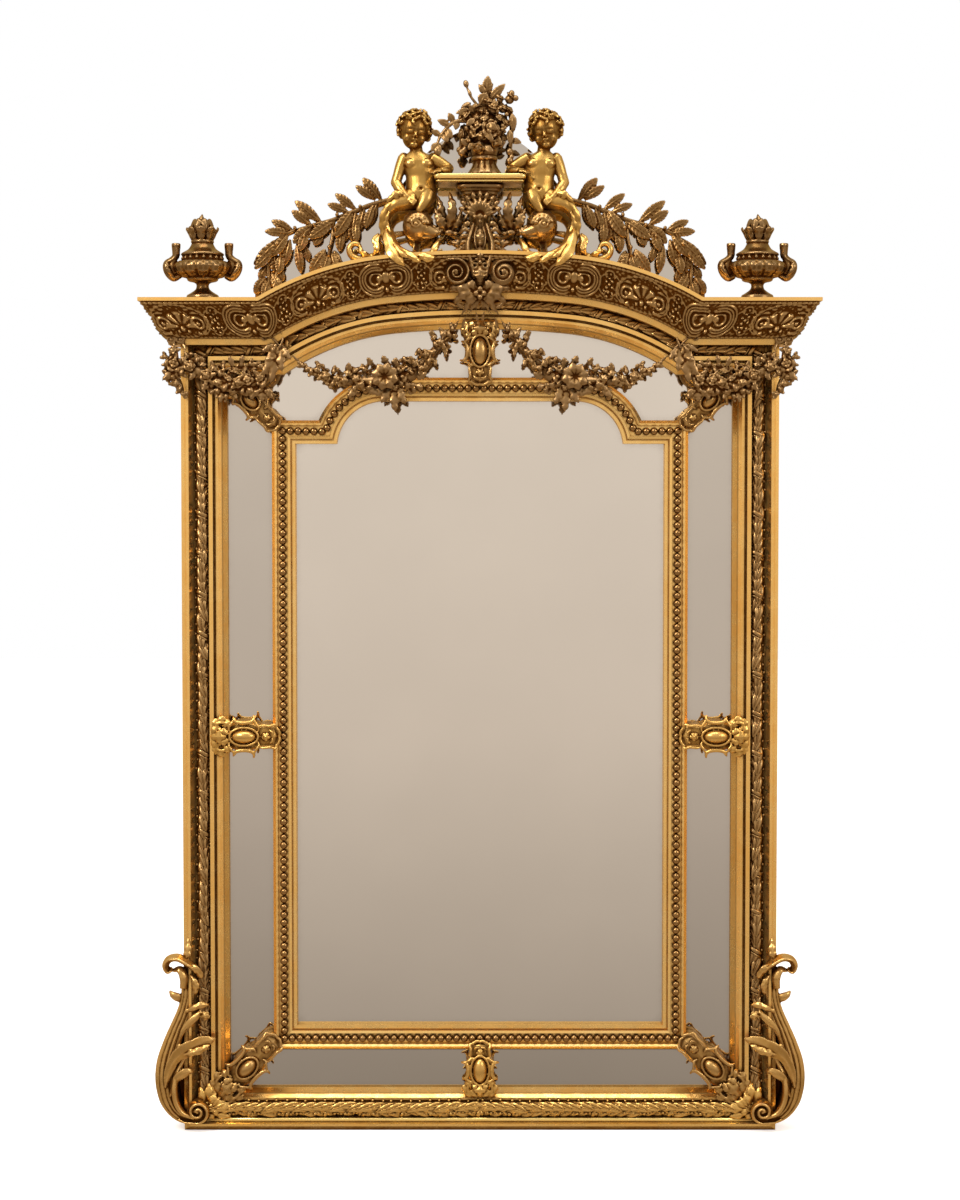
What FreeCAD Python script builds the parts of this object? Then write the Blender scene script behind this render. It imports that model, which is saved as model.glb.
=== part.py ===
import FreeCAD, Part
import math
import os
import re
import Sketcher

# A giltwood overmantel mirror. X runs to the right, Z up, and the front faces -Y.
# The origin is on the floor, under the middle of the frame.
# A depth is measured forward from the wall, which is the plane at wall_y.

document = FreeCAD.newDocument("giltwood_mirror")
sheet = document.addObject("Spreadsheet::Sheet", "sizes")

driving_sizes = [
    ("wall_y", 90, "plane of the wall behind the frame"),
    ("frame_half", 594, "outer face of a stile, from the middle"),
    ("frame_width", 89, "face width of a stile"),
    ("rail_height", 79, "face height of the bottom rail"),
    ("head_sight", 1516, "sight edge of the level head"),
    ("board_depth", 34, "thickness of the pine carcass"),
    ("plate_back", 38, "back of the mirror plates"),
    ("plate_face", 43, "face of the mirror plates"),
    ("plate_lap", 6, "how far a plate runs under its moulding"),
    ("plate_gap", 0.5, "half the gap where two plates meet"),
    ("band_edge", 54, "depth of the wide band at the sight edge"),
    ("band_crown", 80, "depth of the wide band at its crown"),
    ("fillet_depth", 88, "depth of the bright fillet"),
    ("hollow_depth", 72, "depth of the hollow that carries the leaf band"),
    ("torus_depth", 92, "depth of the outer torus"),
    ("arch_crown", 1607, "sight edge at the middle of the arch"),
    ("crown_radius", 1700, "large radius of the arch"),
    ("haunch_radius", 470, "small radius of the arch"),
    ("crown_half", 170, "half the width of the large radius"),
    ("fillet_start", 55, "start of the gold fillet, from the sight edge"),
    ("frieze_start", 67, "start of the carved frieze"),
    ("frieze_end", 137, "end of the carved frieze"),
    ("cornice_top", 144, "top of the cornice"),
    ("cornice_depth", 165, "depth of the cornice's top fillet"),
    ("inner_half", 369, "sight edge of the inner frame"),
    ("inner_width", 46, "face width of the inner frame"),
    ("inner_sill", 207, "sight edge of the inner bottom rail"),
    ("inner_step", 1378, "sight edge of the shoulder"),
    ("inner_head", 1463, "sight edge of the inner head"),
    ("shoulder_x", 193, "middle of the quarter round"),
    ("shoulder_z", 1369, "height of the middle of the quarter round"),
    ("bead_line", 25, "middle of the bead string, from the sight edge"),
    ("bead_radius", 7.2, "radius of a bead"),
    ("bead_pitch", 15.5, "spacing of the beads"),
    ("clasp_height", 794, "height of the side clasps"),
    ("urn_x", 546, "middle of a finial urn"),
    ("urn_depth", 110, "middle of a finial urn"),
    ("urn_height", 168, "height of a finial urn"),
    ("ledge_half", 90, "half the length of the crest ledge"),
    ("ledge_bottom", 1885, "underside of the crest ledge"),
    ("ledge_top", 1902, "top of the crest ledge"),
    ("crest_depth", 105, "middle of the crest figures"),
    ("crest_top", 2100, "top of the flowers"),
    ("foot_spread", 645, "outermost point of a scroll foot"),
    ("hanger_x", 551, "middle of a hanger hole"),
    ("hanger_z", 1330, "height of the hanger holes"),
    ("hanger_hole", 4, "radius of a hanger hole"),
    ("hanger_thick", 4, "thickness of a hanger plate"),
    ("screw_radius", 2, "radius of a hanger screw"),
    ("swag_depth", 112, "middle of the swags"),
]
for row, (alias, number, note) in enumerate(driving_sizes, start=1):
    sheet.set(f"A{row}", note)
    sheet.set(f"B{row}", str(number))
    sheet.setAlias(f"B{row}", alias)
document.recompute()

sub_parts = []


def bound(text):
    """Point every word of a formula at its cell of the sheet."""
    return re.sub(r"\b[a-z]\w+\b(?!\()", lambda word: "sizes." + word.group(), str(text))


def value(text):
    """The number that a formula gives with the sheet's present sizes."""
    return float(sheet.evalExpression(bound(text)))


def point(x, z, depth=0.0):
    """A point from its place across, its height and its depth from the wall."""
    return FreeCAD.Vector(x, value("wall_y") - depth, z)


def keep(piece, label):
    piece.Label = label
    sub_parts.append(piece)
    return piece


# Ways of making a piece


def board(label, left, right, bottom, top, back, front):
    """A square-edged board between six formulas."""
    piece = document.addObject("Part::Box", label)
    piece.setExpression("Length", bound(f"({right}) - ({left})"))
    piece.setExpression("Width", bound(f"({front}) - ({back})"))
    piece.setExpression("Height", bound(f"({top}) - ({bottom})"))
    piece.setExpression("Placement.Base.x", bound(left))
    piece.setExpression("Placement.Base.y", bound(f"wall_y - ({front})"))
    piece.setExpression("Placement.Base.z", bound(bottom))
    return piece


def drawing(body, label, role, outline):
    """A closed straight-sided sketch whose corners are held by formulas."""
    plane = next(f for f in body.Origin.OriginFeatures if f.Role == role)
    sketch = body.newObject("Sketcher::SketchObject", label)
    sketch.AttachmentSupport = [(plane, "")]
    sketch.MapMode = "FlatFace"
    corners = [FreeCAD.Vector(value(across), value(up), 0) for across, up in outline]
    count = len(corners)
    for index in range(count):
        sketch.addGeometry(Part.LineSegment(corners[index], corners[(index + 1) % count]))
    for index in range(count):
        sketch.addConstraint(Sketcher.Constraint("Coincident", index, 2, (index + 1) % count, 1))
    for index, pair in enumerate(outline):
        for kind, text in zip(("DistanceX", "DistanceY"), pair):
            held = sketch.addConstraint(Sketcher.Constraint(kind, -1, 1, index, 1, value(text)))
            sketch.setExpression(f"Constraints[{held}]", bound(text))
    return sketch


def pad(body, label, role, outline, length, both_ways=False):
    """Add a straight length of one section to a body."""
    feature = body.newObject("PartDesign::Pad", label)
    feature.Profile = drawing(body, f"{label}_outline", role, outline)
    feature.setExpression("Length", bound(length))
    feature.Midplane = both_ways
    return feature


def cut_through(body, label, role, outline):
    """Cut an outline right through a body, both ways, and prove that it cut something."""
    document.recompute()
    before = body.Shape.Volume
    feature = body.newObject("PartDesign::Pocket", label)
    feature.Profile = drawing(body, f"{label}_outline", role, outline)
    feature.Type = "ThroughAll"
    feature.Midplane = True
    document.recompute()
    if body.Shape.Volume > before - 1:
        raise ValueError(f"{body.Label}: {label} cuts nothing")
    return feature


def mirrored(piece, label):
    """The left-hand twin of a right-hand piece."""
    twin = document.addObject("Part::Mirroring", label)
    twin.Source = piece
    twin.Normal = (1, 0, 0)
    return keep(twin, label)


def both_sides(piece, name):
    """A right-hand piece and its twin in one group of separate solids."""
    twin = document.addObject("Part::Mirroring", f"{name}_twin")
    twin.Source = piece
    twin.Normal = (1, 0, 0)
    group = document.addObject("Part::Compound", name)
    group.Links = [piece, twin]
    return keep(group, name)


def pair(piece, name):
    keep(piece, f"{name}_right")
    return mirrored(piece, f"{name}_left")


def coded(label, shape):
    """A piece whose shape has no straight section, worked out from the sheet."""
    piece = document.addObject("Part::Feature", label)
    piece.Shape = shape
    return piece


def less(piece, *tools):
    """A shape with the shapes of its neighbours taken out of it, so that it is scribed to them."""
    shape = piece
    for tool in tools:
        shape = shape.cut(tool.Shape)
    solids = sorted(shape.Solids, key=lambda solid: -solid.Volume)
    return [solid for solid in solids if solid.Volume > solids[0].Volume / 200]


def slab(outline, back, front):
    """A flat piece from a closed wire drawn on the wall plane."""
    face = Part.Face(outline)
    face.translate(FreeCAD.Vector(0, -back, 0))
    return face.extrude(FreeCAD.Vector(0, back - front, 0))


def curve_through(points):
    """A smooth edge on the wall plane through places across and up."""
    curve = Part.BSplineCurve()
    curve.interpolate([point(x, z) for x, z in points])
    return curve.toShape()


def straight(*points):
    """Straight edges on the wall plane, joined in turn."""
    corners = [point(x, z) for x, z in points]
    return [Part.makeLine(first, last) for first, last in zip(corners, corners[1:])]


def arc_through(first, middle, last):
    return Part.Arc(point(*first), point(*middle), point(*last)).toShape()


# Carcass of pine, behind everything

plate_edge = "frame_half - frame_width + plate_lap"
carcass_edge = f"{plate_edge} + 1"
sill_top = "rail_height - plate_lap - 1"
carcass_top = "head_sight + plate_lap"
haunch_x = "(crown_half * (1 - haunch_radius / crown_radius))"
haunch_z = (
    "(arch_crown - crown_radius"
    " + sqrt(crown_radius^2 - crown_half^2) * (1 - haunch_radius / crown_radius))"
)


def haunch_across(offset, height):
    """Where the haunch, moved outward by an offset, crosses a level line."""
    return f"({haunch_x} + sqrt((haunch_radius + {offset})^2 - ({height} - {haunch_z})^2))"


def arch_edges(offset, start_x, level):
    """Edges from a level line up the right haunch and along the crown to start_x."""
    radius = value("haunch_radius") + offset
    crown = value("crown_radius") + offset
    middle = (value(haunch_x), value(haunch_z))
    crown_z = value("arch_crown - crown_radius")
    tangent = math.asin(value("crown_half / crown_radius"))
    low = (value(haunch_across(offset, level)), level)
    low_angle = math.asin((low[0] - middle[0]) / radius)
    half_angle = (low_angle + tangent) / 2
    half_way = (middle[0] + radius * math.sin(half_angle), middle[1] + radius * math.cos(half_angle))
    joint = (crown * math.sin(tangent), crown_z + crown * math.cos(tangent))
    crown_angle = (math.asin(start_x / crown) + tangent) / 2
    crown_way = (crown * math.sin(crown_angle), crown_z + crown * math.cos(crown_angle))
    top = (start_x, crown_z + math.sqrt(crown**2 - start_x**2))
    return low, top, [arc_through(low, half_way, joint), arc_through(joint, crown_way, top)]


def back_head():
    """One shaped board that closes the top of the carcass, arched like the cornice."""
    edge = value("cornice_top") - 5
    level = value("head_sight") + edge
    foot = value(carcass_top)
    side = value("frame_half") - 4
    low, top, arch = arch_edges(edge, 0, level)
    half = Part.Wire(
        straight((0, foot), (side, foot), (side, level), low) + arch + straight(top, (0, foot))
    )
    right = slab(half, 0, value("board_depth"))
    return right.fuse(right.mirror(FreeCAD.Vector(), FreeCAD.Vector(1, 0, 0))).removeSplitter()


def carcass():
    keep(
        board("back_rail", f"0 - ({carcass_edge})", carcass_edge, "0", sill_top, "0", "board_depth"),
        "back_rail_bottom",
    )
    keep(coded("back_head", back_head()), "back_head")
    keep(
        board(
            "backboard", f"0 - ({carcass_edge})", carcass_edge, sill_top, carcass_top,
            "plate_back - 12", "plate_back",
        ),
        "backboard",
    )


# Gilt mouldings. A profile is a list of widths from the sight edge, with the depth there.

frame_profile = [
    ("0", "plate_face"),
    ("0", "band_edge"),
    ("8", "band_edge + 18"),
    ("16", "band_crown"),
    ("21", "band_crown"),
    ("21", "band_crown - 5"),
    ("26", "band_crown - 5"),
    ("26", "fillet_depth"),
    ("34", "fillet_depth"),
    ("34", "hollow_depth"),
]
frame_front = frame_profile + [
    ("60", "hollow_depth"),
    ("64", "hollow_depth + 3"),
    ("70", "fillet_depth - 2"),
    ("73", "torus_depth"),
    ("78", "torus_depth"),
    ("82", "fillet_depth - 2"),
    ("frame_width", "fillet_depth - 6"),
    ("frame_width", "board_depth"),
]
rebate = [("plate_lap + 1", "board_depth"), ("plate_lap + 1", "plate_face")]
frame_section = frame_front + rebate
head_section = (
    frame_profile
    + [("fillet_start", "hollow_depth"), ("fillet_start", "board_depth")]
    + rebate
)
cornice_front = [
    ("fillet_start", "cornice_depth - 53"),
    ("frieze_start", "cornice_depth - 51"),
    ("frieze_start", "cornice_depth - 54"),
    ("frieze_start + 9", "cornice_depth - 42"),
    ("frieze_start + 23", "cornice_depth - 34"),
    ("frieze_start + 48", "cornice_depth - 23"),
    ("frieze_end - 10", "cornice_depth - 11"),
    ("frieze_end", "cornice_depth - 4"),
    ("frieze_end", "cornice_depth"),
    ("cornice_top", "cornice_depth"),
]
cornice_section = (
    [("fillet_start", "board_depth")] + cornice_front + [("cornice_top", "board_depth")]
)
inner_section = [
    ("0", "plate_face"),
    ("0", "plate_face + 18"),
    ("6", "plate_face + 18"),
    ("6", "plate_face + 13"),
    ("9", "plate_face + 13"),
    ("9", "plate_face + 26"),
    ("14", "plate_face + 27"),
    ("14", "plate_face + 15"),
    ("36", "plate_face + 15"),
    ("36", "plate_face + 27"),
    ("40", "plate_face + 30"),
    ("inner_width", "plate_face + 24"),
    ("inner_width", "plate_face"),
    ("inner_width - plate_lap - 1", "plate_face"),
    ("inner_width - plate_lap - 1", "plate_back"),
    ("plate_lap + 1", "plate_back"),
    ("plate_lap + 1", "plate_face"),
]
arch_mitre = ["0", "fillet_start / 2", "fillet_start"]
cornice_mitre = ["fillet_start", "(fillet_start + cornice_top) / 2", "cornice_top"]
inner_mitre = ["0", "inner_width / 2", "inner_width"]
sight = "frame_half - frame_width"


def section_face(section, x, base, sign=1):
    """A section standing square to X, at a place and height."""
    corners = [point(x, base + sign * value(width), value(depth)) for width, depth in section]
    return Part.Face(Part.makePolygon(corners + corners[:1]))


def stile():
    body = document.addObject("PartDesign::Body", "stile")
    outline = [(f"{sight} + {width}", f"wall_y - ({depth})") for width, depth in frame_section]
    top = "head_sight + fillet_start"
    pad(body, "stile_length", "XY_Plane", outline, top)
    foot = [(sight, "0"), ("frame_half", "0"), (sight, "rail_height")]
    cut_through(body, "stile_foot_mitre", "XZ_Plane", foot)
    head = [(sight, "head_sight"), (f"{sight} + fillet_start", top), (sight, top)]
    cut_through(body, "stile_head_mitre", "XZ_Plane", head)
    return body


def rail_bottom():
    body = document.addObject("PartDesign::Body", "rail_bottom")
    scale = "rail_height / frame_width"
    outline = [
        (f"wall_y - ({depth})", f"rail_height - ({width}) * {scale}") for width, depth in frame_section
    ]
    pad(body, "rail_length", "YZ_Plane", outline, "2 * frame_half", both_ways=True)
    for name, sign in (("right", ""), ("left", "0 - ")):
        side = f"{sign}frame_half"
        corner = [(f"{sign}({sight})", "rail_height"), (side, "0"), (side, "rail_height")]
        cut_through(body, f"rail_{name}_mitre", "XZ_Plane", corner)
    return body


def arch_mitre_line(widths):
    """The line on which the level moulding and the arched one have the same width."""
    heights = [f"head_sight + {width}" for width in widths]
    return [(haunch_across(width, f"({height})"), height) for width, height in zip(widths, heights)]


def head_level():
    """Level length of the head between the stile and the arch."""
    body = document.addObject("PartDesign::Body", "head_level")
    outline = [(f"wall_y - ({depth})", f"head_sight + {width}") for width, depth in head_section]
    pad(body, "head_length", "YZ_Plane", outline, "frame_half")
    top = "head_sight + fillet_start"
    shoulder = (f"{sight} + fillet_start", top)
    corner = [(sight, "head_sight"), ("frame_half", "head_sight"), ("frame_half", top), shoulder]
    cut_through(body, "head_corner_mitre", "XZ_Plane", corner)
    inside = [("0", "head_sight")] + arch_mitre_line(arch_mitre) + [("0", top)]
    cut_through(body, "head_arch_mitre", "XZ_Plane", inside)
    return body


def cornice_level():
    """Level length of the cornice, with its return round the end."""
    body = document.addObject("PartDesign::Body", "cornice_level")
    outline = [(f"wall_y - ({depth})", f"head_sight + {width}") for width, depth in cornice_section]
    tip = "frame_half + cornice_depth - torus_depth"
    pad(body, "cornice_length", "YZ_Plane", outline, tip)
    far = f"{tip} + 20"
    ends = [
        (f"frame_half + {depth} - torus_depth", f"head_sight + {width}") for width, depth in cornice_front
    ]
    base, top = "head_sight + fillet_start", "head_sight + cornice_top"
    cut_through(body, "cornice_return", "XZ_Plane", ends + [(far, top), (far, base)])
    inside = [("0", base)] + arch_mitre_line(cornice_mitre) + [("0", top)]
    cut_through(body, "cornice_arch_mitre", "XZ_Plane", inside)
    return body


def beyond(mitre, far):
    """A block outside a mitre line, from well below it to its top, for cutting away."""
    low, high = mitre[0][1] - 99, mitre[-1][1]
    outline = straight(*mitre, (far, high), (far, low), (mitre[0][0], low), mitre[0])
    return slab(Part.Wire(outline), 0, 200)


def arched(section, widths):
    """A moulding bent along the crown and both haunches, cut at the mitres with the level ones."""
    axis = FreeCAD.Vector(0, 1, 0)
    tangent = math.degrees(math.asin(value("crown_half / crown_radius")))
    haunch_end = 38
    crown_centre = point(0, value("arch_crown - crown_radius"))
    crown = section_face(section, 0, value("arch_crown"))
    crown.rotate(crown_centre, axis, -tangent)
    crown = crown.revolve(crown_centre, axis, 2 * tangent)
    haunch_centre = point(value(haunch_x), value(haunch_z))
    haunch = section_face(section, haunch_centre.x, haunch_centre.z + value("haunch_radius"))
    haunch.rotate(haunch_centre, axis, tangent)
    haunch = haunch.revolve(haunch_centre, axis, haunch_end - tangent)
    mitre = [(value(x), value(z)) for x, z in arch_mitre_line(widths)]
    haunch = haunch.cut(beyond(mitre, value("frame_half")))
    twin = haunch.mirror(FreeCAD.Vector(), FreeCAD.Vector(1, 0, 0))
    return crown.fuse([haunch, twin]).removeSplitter()


def inner_stile():
    body = document.addObject("PartDesign::Body", "inner_stile")
    outline = [(f"inner_half + {width}", f"wall_y - ({depth})") for width, depth in inner_section]
    top = "inner_step + inner_width"
    outer = "inner_half + inner_width"
    pad(body, "inner_stile_length", "XY_Plane", outline, top)
    heel = (outer, "inner_sill - inner_width")
    foot = [("inner_half", "0"), (outer, "0"), heel, ("inner_half", "inner_sill")]
    cut_through(body, "inner_foot_mitre", "XZ_Plane", foot)
    head = [("inner_half", "inner_step"), (outer, top), ("inner_half", top)]
    cut_through(body, "inner_head_mitre", "XZ_Plane", head)
    return body


def inner_rail_bottom():
    body = document.addObject("PartDesign::Body", "inner_rail_bottom")
    outline = [(f"wall_y - ({depth})", f"inner_sill - {width}") for width, depth in inner_section]
    outer = "(inner_half + inner_width)"
    pad(body, "inner_rail_length", "YZ_Plane", outline, f"2 * {outer}", both_ways=True)
    for name, sign in (("right", ""), ("left", "0 - ")):
        side = f"{sign}{outer}"
        corner = [
            (f"{sign}inner_half", "inner_sill"), (side, "inner_sill - inner_width"), (side, "inner_sill"),
        ]
        cut_through(body, f"inner_rail_{name}_mitre", "XZ_Plane", corner)
    return body


def shoulder_across(width, height):
    """Where the quarter round, moved outward by a width, crosses a level line."""
    radius = value("inner_head - shoulder_z") + width
    return value("shoulder_x") + math.sqrt(radius**2 - (height - value("shoulder_z")) ** 2)


def inner_head():
    """The stepped head of the inner frame: a shoulder and a quarter round at each side."""
    step, outer = value("inner_step"), value("inner_half + inner_width")
    widths = [value(width) for width in inner_mitre]
    mitre = [(shoulder_across(width, step + width), step + width) for width in widths]
    level = section_face(inner_section, 0, step).extrude(FreeCAD.Vector(outer, 0, 0))
    inside = slab(Part.Wire(straight(*mitre, (0, mitre[-1][1]), (0, step), mitre[0])), 0, 200)
    corner = [(value("inner_half"), step), (outer, step + value("inner_width")), (outer, step)]
    outside = slab(Part.Wire(straight(*corner, corner[0])), 0, 200)
    level = level.cut(inside).cut(outside)
    centre = point(value("shoulder_x"), value("shoulder_z"))
    quarter = section_face(inner_section, centre.x, value("inner_head"))
    quarter = quarter.revolve(centre, FreeCAD.Vector(0, 1, 0), 88)
    quarter = quarter.cut(beyond(mitre, outer))
    top = section_face(inner_section, 0, value("inner_head"))
    top = top.extrude(FreeCAD.Vector(centre.x, 0, 0))
    half = top.fuse([quarter, level])
    return half.fuse(half.mirror(FreeCAD.Vector(), FreeCAD.Vector(1, 0, 0))).removeSplitter()


def mouldings():
    """Every gilt moulding by name, for the pieces that are scribed to them."""
    made = {"stile_right": stile(), "head_right": head_level(), "cornice_right": cornice_level()}
    pair(made["stile_right"], "stile")
    pair(made["head_right"], "head")
    pair(made["cornice_right"], "cornice")
    made["rail_bottom"] = keep(rail_bottom(), "rail_bottom")
    made["head_arch"] = keep(coded("head_arch", arched(head_section, arch_mitre)), "head_arch")
    cornice_arch = coded("cornice_arch", arched(cornice_section, cornice_mitre))
    made["cornice_arch"] = keep(cornice_arch, "cornice_arch")
    made["inner_stile_right"] = inner_stile()
    pair(made["inner_stile_right"], "inner_stile")
    made["inner_rail_bottom"] = keep(inner_rail_bottom(), "inner_rail_bottom")
    made["inner_head"] = keep(coded("inner_head", inner_head()), "inner_head")
    document.recompute()
    return made


# Mirror plates and the strings of beads

side_inner = "inner_half + inner_width - plate_lap"
side_low = "inner_sill - inner_width + plate_lap"
side_high = "inner_step + inner_width - plate_lap"


def glass(label, outline):
    """A straight-sided plate, thick from plate_back to plate_face."""
    body = document.addObject("PartDesign::Body", label)
    corners = [(across, f"({up})") for across, up in outline]
    pad(body, f"{label}_thickness", "XZ_Plane", corners, "plate_face - plate_back")
    body.setExpression("Placement.Base.y", bound("wall_y - plate_back"))
    return body


def plate_centre():
    """The large plate, with its stepped and rounded top corners."""
    lap = value("plate_lap")
    edge, foot = value("inner_half") + lap, value("inner_sill") - lap
    step, top = value("inner_step") + lap, value("inner_head") + lap
    middle = (value("shoulder_x"), value("shoulder_z"))
    radius = top - middle[1]
    start = (shoulder_across(lap, step), step)
    diagonal = radius * math.sqrt(0.5)
    quarter = arc_through(start, (middle[0] + diagonal, middle[1] + diagonal), (middle[0], top))
    side = straight((0, foot), (edge, foot), (edge, step), start)
    half = slab(Part.Wire(side + [quarter] + straight((middle[0], top), (0, top), (0, foot))),
                value("plate_back"), value("plate_face"))
    return half.fuse(half.mirror(FreeCAD.Vector(), FreeCAD.Vector(1, 0, 0))).removeSplitter()


def plate_top():
    """The plate between the inner head and the arch, one of a pair."""
    lap, gap = value("plate_lap"), value("plate_gap")
    low, top, arch = arch_edges(lap, gap, value("head_sight") + lap)
    outer = value(plate_edge)
    reach = value("inner_width") - lap
    inner_corner = (value(side_inner), value(side_high) + gap)
    step = value("inner_step") + reach
    middle = (value("shoulder_x"), value("shoulder_z"))
    radius = value("inner_head") + reach - middle[1]
    start = (shoulder_across(reach, step), step)
    diagonal = radius * math.sqrt(0.5)
    bend = (middle[0] + diagonal, middle[1] + diagonal)
    end = (middle[0], middle[1] + radius)
    floor = [arc_through(start, bend, end)] + straight(end, (gap, end[1]), top)
    side = straight(low, (outer, low[1]), (outer, low[1] - gap), inner_corner, start)
    outline = Part.Wire(Part.__sortEdges__(arch + side + floor))
    return slab(outline, value("plate_back"), value("plate_face"))


def plates():
    keep(coded("plate_centre", plate_centre()), "plate_centre")
    join = "clasp_height"
    lower = [
        (side_inner, f"{side_low} + plate_gap"),
        (plate_edge, "rail_height - plate_lap + plate_gap"),
        (plate_edge, f"{join} - plate_gap"),
        (side_inner, f"{join} - plate_gap"),
    ]
    pair(glass("plate_lower", lower), "plate_lower")
    upper = [
        (side_inner, f"{join} + plate_gap"),
        (plate_edge, f"{join} + plate_gap"),
        (plate_edge, f"{carcass_top} - plate_gap"),
        (side_inner, f"{side_high} - plate_gap"),
    ]
    pair(glass("plate_upper", upper), "plate_upper")
    bottom = [
        ("plate_gap", "rail_height - plate_lap"),
        (plate_edge, "rail_height - plate_lap"),
        (side_inner, side_low),
        ("plate_gap", side_low),
    ]
    pair(glass("plate_bottom", bottom), "plate_bottom")
    pair(coded("plate_top", plate_top()), "plate_top")


def bead_run(start, end, depth):
    """Beads in a straight row from start to end, each a place and a height."""
    count = round(math.dist(start, end) / value("bead_pitch"))
    balls = []
    for index in range(count + 1):
        share = index / count
        x = start[0] + (end[0] - start[0]) * share
        z = start[1] + (end[1] - start[1]) * share
        balls.append(Part.makeSphere(value("bead_radius"), point(x, z, depth)))
    return balls


def beads():
    """Strings of beads in the channel of the inner frame."""
    line, pitch = value("bead_line"), value("bead_pitch")
    depth = value("plate_face + 15 + bead_radius")
    across, foot = value("inner_half") + line, value("inner_sill") - line
    step, top = value("inner_step") + line, value("inner_head") + line
    middle_x, middle_z = value("shoulder_x"), value("shoulder_z")
    side = Part.makeCompound(bead_run((across, foot), (across, step), depth))
    both_sides(coded("beads", side), "beads_sides")
    bottom = bead_run((pitch - across, foot), (across - pitch, foot), depth)
    keep(coded("beads_bottom", Part.makeCompound(bottom)), "beads_bottom")
    runs = bead_run((-middle_x, top), (middle_x, top), depth)
    radius = top - middle_z
    end = shoulder_across(line, step)
    last = math.acos((end - middle_x) / radius)
    count = round(radius * (math.pi / 2 - last) / pitch)
    for sign in (-1, 1):
        for index in range(1, count + 1):
            angle = math.pi / 2 + (last - math.pi / 2) * index / count
            x = sign * (middle_x + radius * math.cos(angle))
            z = middle_z + radius * math.sin(angle)
            runs.append(Part.makeSphere(value("bead_radius"), point(x, z, depth)))
        runs += bead_run((sign * (end + pitch), step), (sign * (across - pitch), step), depth)
    keep(coded("beads_top", Part.makeCompound(runs)), "beads_top")


# Carved ornament. A limb is a row of balls joined by cones, each ball a place, height, depth and radius.


def limb(*balls):
    """Balls in a row with a cone between each two, a little slimmer so that they meet cleanly."""
    shapes = []
    slim = 0.94
    for x, z, depth, radius in balls:
        shapes.append(Part.makeSphere(radius, point(x, z, depth)))
    for first, last in zip(balls, balls[1:]):
        start, end = point(*first[:3]), point(*last[:3])
        along = end - start
        if abs(first[3] - last[3]) < 0.01:
            shapes.append(Part.makeCylinder(slim * first[3], along.Length, start, along))
        else:
            shapes.append(Part.makeCone(slim * first[3], slim * last[3], along.Length, start, along))
    return shapes


def egg(x, z, depth, half_across, half_up, half_deep, lean=0):
    """A ball stretched three ways and leant over in the plane of the wall."""
    ball = Part.makeSphere(1)
    stretch = FreeCAD.Matrix()
    stretch.scale(half_across, half_deep, half_up)
    ball = ball.transformGeometry(stretch)
    ball.rotate(FreeCAD.Vector(), FreeCAD.Vector(0, 1, 0), lean)
    ball.translate(point(x, z, depth))
    return ball


def leaf(x, z, length, width, lean, back, front):
    """A pointed leaf from its stalk end, leaning clockwise from upright."""
    half = length / 2
    stalk, tip = FreeCAD.Vector(0, 0, 0), FreeCAD.Vector(0, 0, length)
    sides = [FreeCAD.Vector(sign * width / 2, 0, half) for sign in (-1, 1)]
    outline = [Part.Arc(stalk, side, tip).toShape() for side in sides]
    blade = Part.Face(Part.Wire(Part.__sortEdges__(outline)))
    blade.rotate(FreeCAD.Vector(), FreeCAD.Vector(0, 1, 0), lean)
    blade.translate(point(x, z, back))
    return blade.extrude(FreeCAD.Vector(0, back - front, 0))


def joined(shapes):
    """Overlapping shapes made into one, in turn, each step adding to what is there."""
    whole = shapes[0]
    for shape in shapes[1:]:
        whole = whole.fuse(shape)
    return whole.removeSplitter()


def scribed(label, shapes, *neighbours):
    """Carving joined into one piece and cut to the pieces that it sits on."""
    solids = less(joined(shapes), *neighbours)
    return coded(label, solids[0] if len(solids) == 1 else Part.makeCompound(solids))


def boss_clasp(x, z, length, width, lean):
    """A pointed plate with an oval boss and four curled corners."""
    face = value("plate_face")
    turn = math.radians(lean)
    foot = (x - math.sin(turn) * length / 2, z - math.cos(turn) * length / 2)
    shapes = [
        leaf(*foot, length, width * 0.8, lean, face, 90),
        egg(x, z, 87, width * 0.21, width * 0.34, 18, lean),
    ]
    for along in (-1, 1):
        for across in (-1, 1):
            dx = across * width * 0.3
            dz = along * width * 0.34
            place_x = x + dx * math.cos(turn) + dz * math.sin(turn)
            place_z = z - dx * math.sin(turn) + dz * math.cos(turn)
            place = point(place_x, place_z, face)
            shapes.append(Part.makeCylinder(width * 0.2, 84 - face, place, FreeCAD.Vector(0, -1, 0)))
    return shapes


def clasps(gilt):
    """Clasps over the joints of the plates, scribed to the mouldings on both sides."""
    middle = (value("inner_half + inner_width") + value(sight)) / 2 + 11
    side = boss_clasp(middle, value("clasp_height"), 140, 74, 90)
    beside = [gilt[name] for name in ("stile_right", "inner_stile_right", "beads_sides")]
    pair(scribed("clasp", side, *beside), "clasp")
    bottom = boss_clasp(0, 120, 110, 66, 0)
    keep(scribed("clasp_bottom", bottom, gilt["rail_bottom"], gilt["inner_rail_bottom"]), "clasp_bottom")
    corner = boss_clasp(458, 133, 178, 72, 135)
    beside = beside + [gilt["rail_bottom"], gilt["inner_rail_bottom"]]
    pair(scribed("clasp_foot", corner, *beside), "clasp_foot")
    crown = boss_clasp(452, 1462, 150, 60, 45)
    beside = beside[:3] + [gilt["head_right"], gilt["inner_head"]]
    pair(scribed("clasp_head", crown, *beside), "clasp_head")
    top = boss_clasp(0, 1562, 128, 74, 0)
    gilt["clasp_top"] = keep(scribed("clasp_top", top, gilt["head_arch"], gilt["inner_head"]), "clasp_top")


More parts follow.
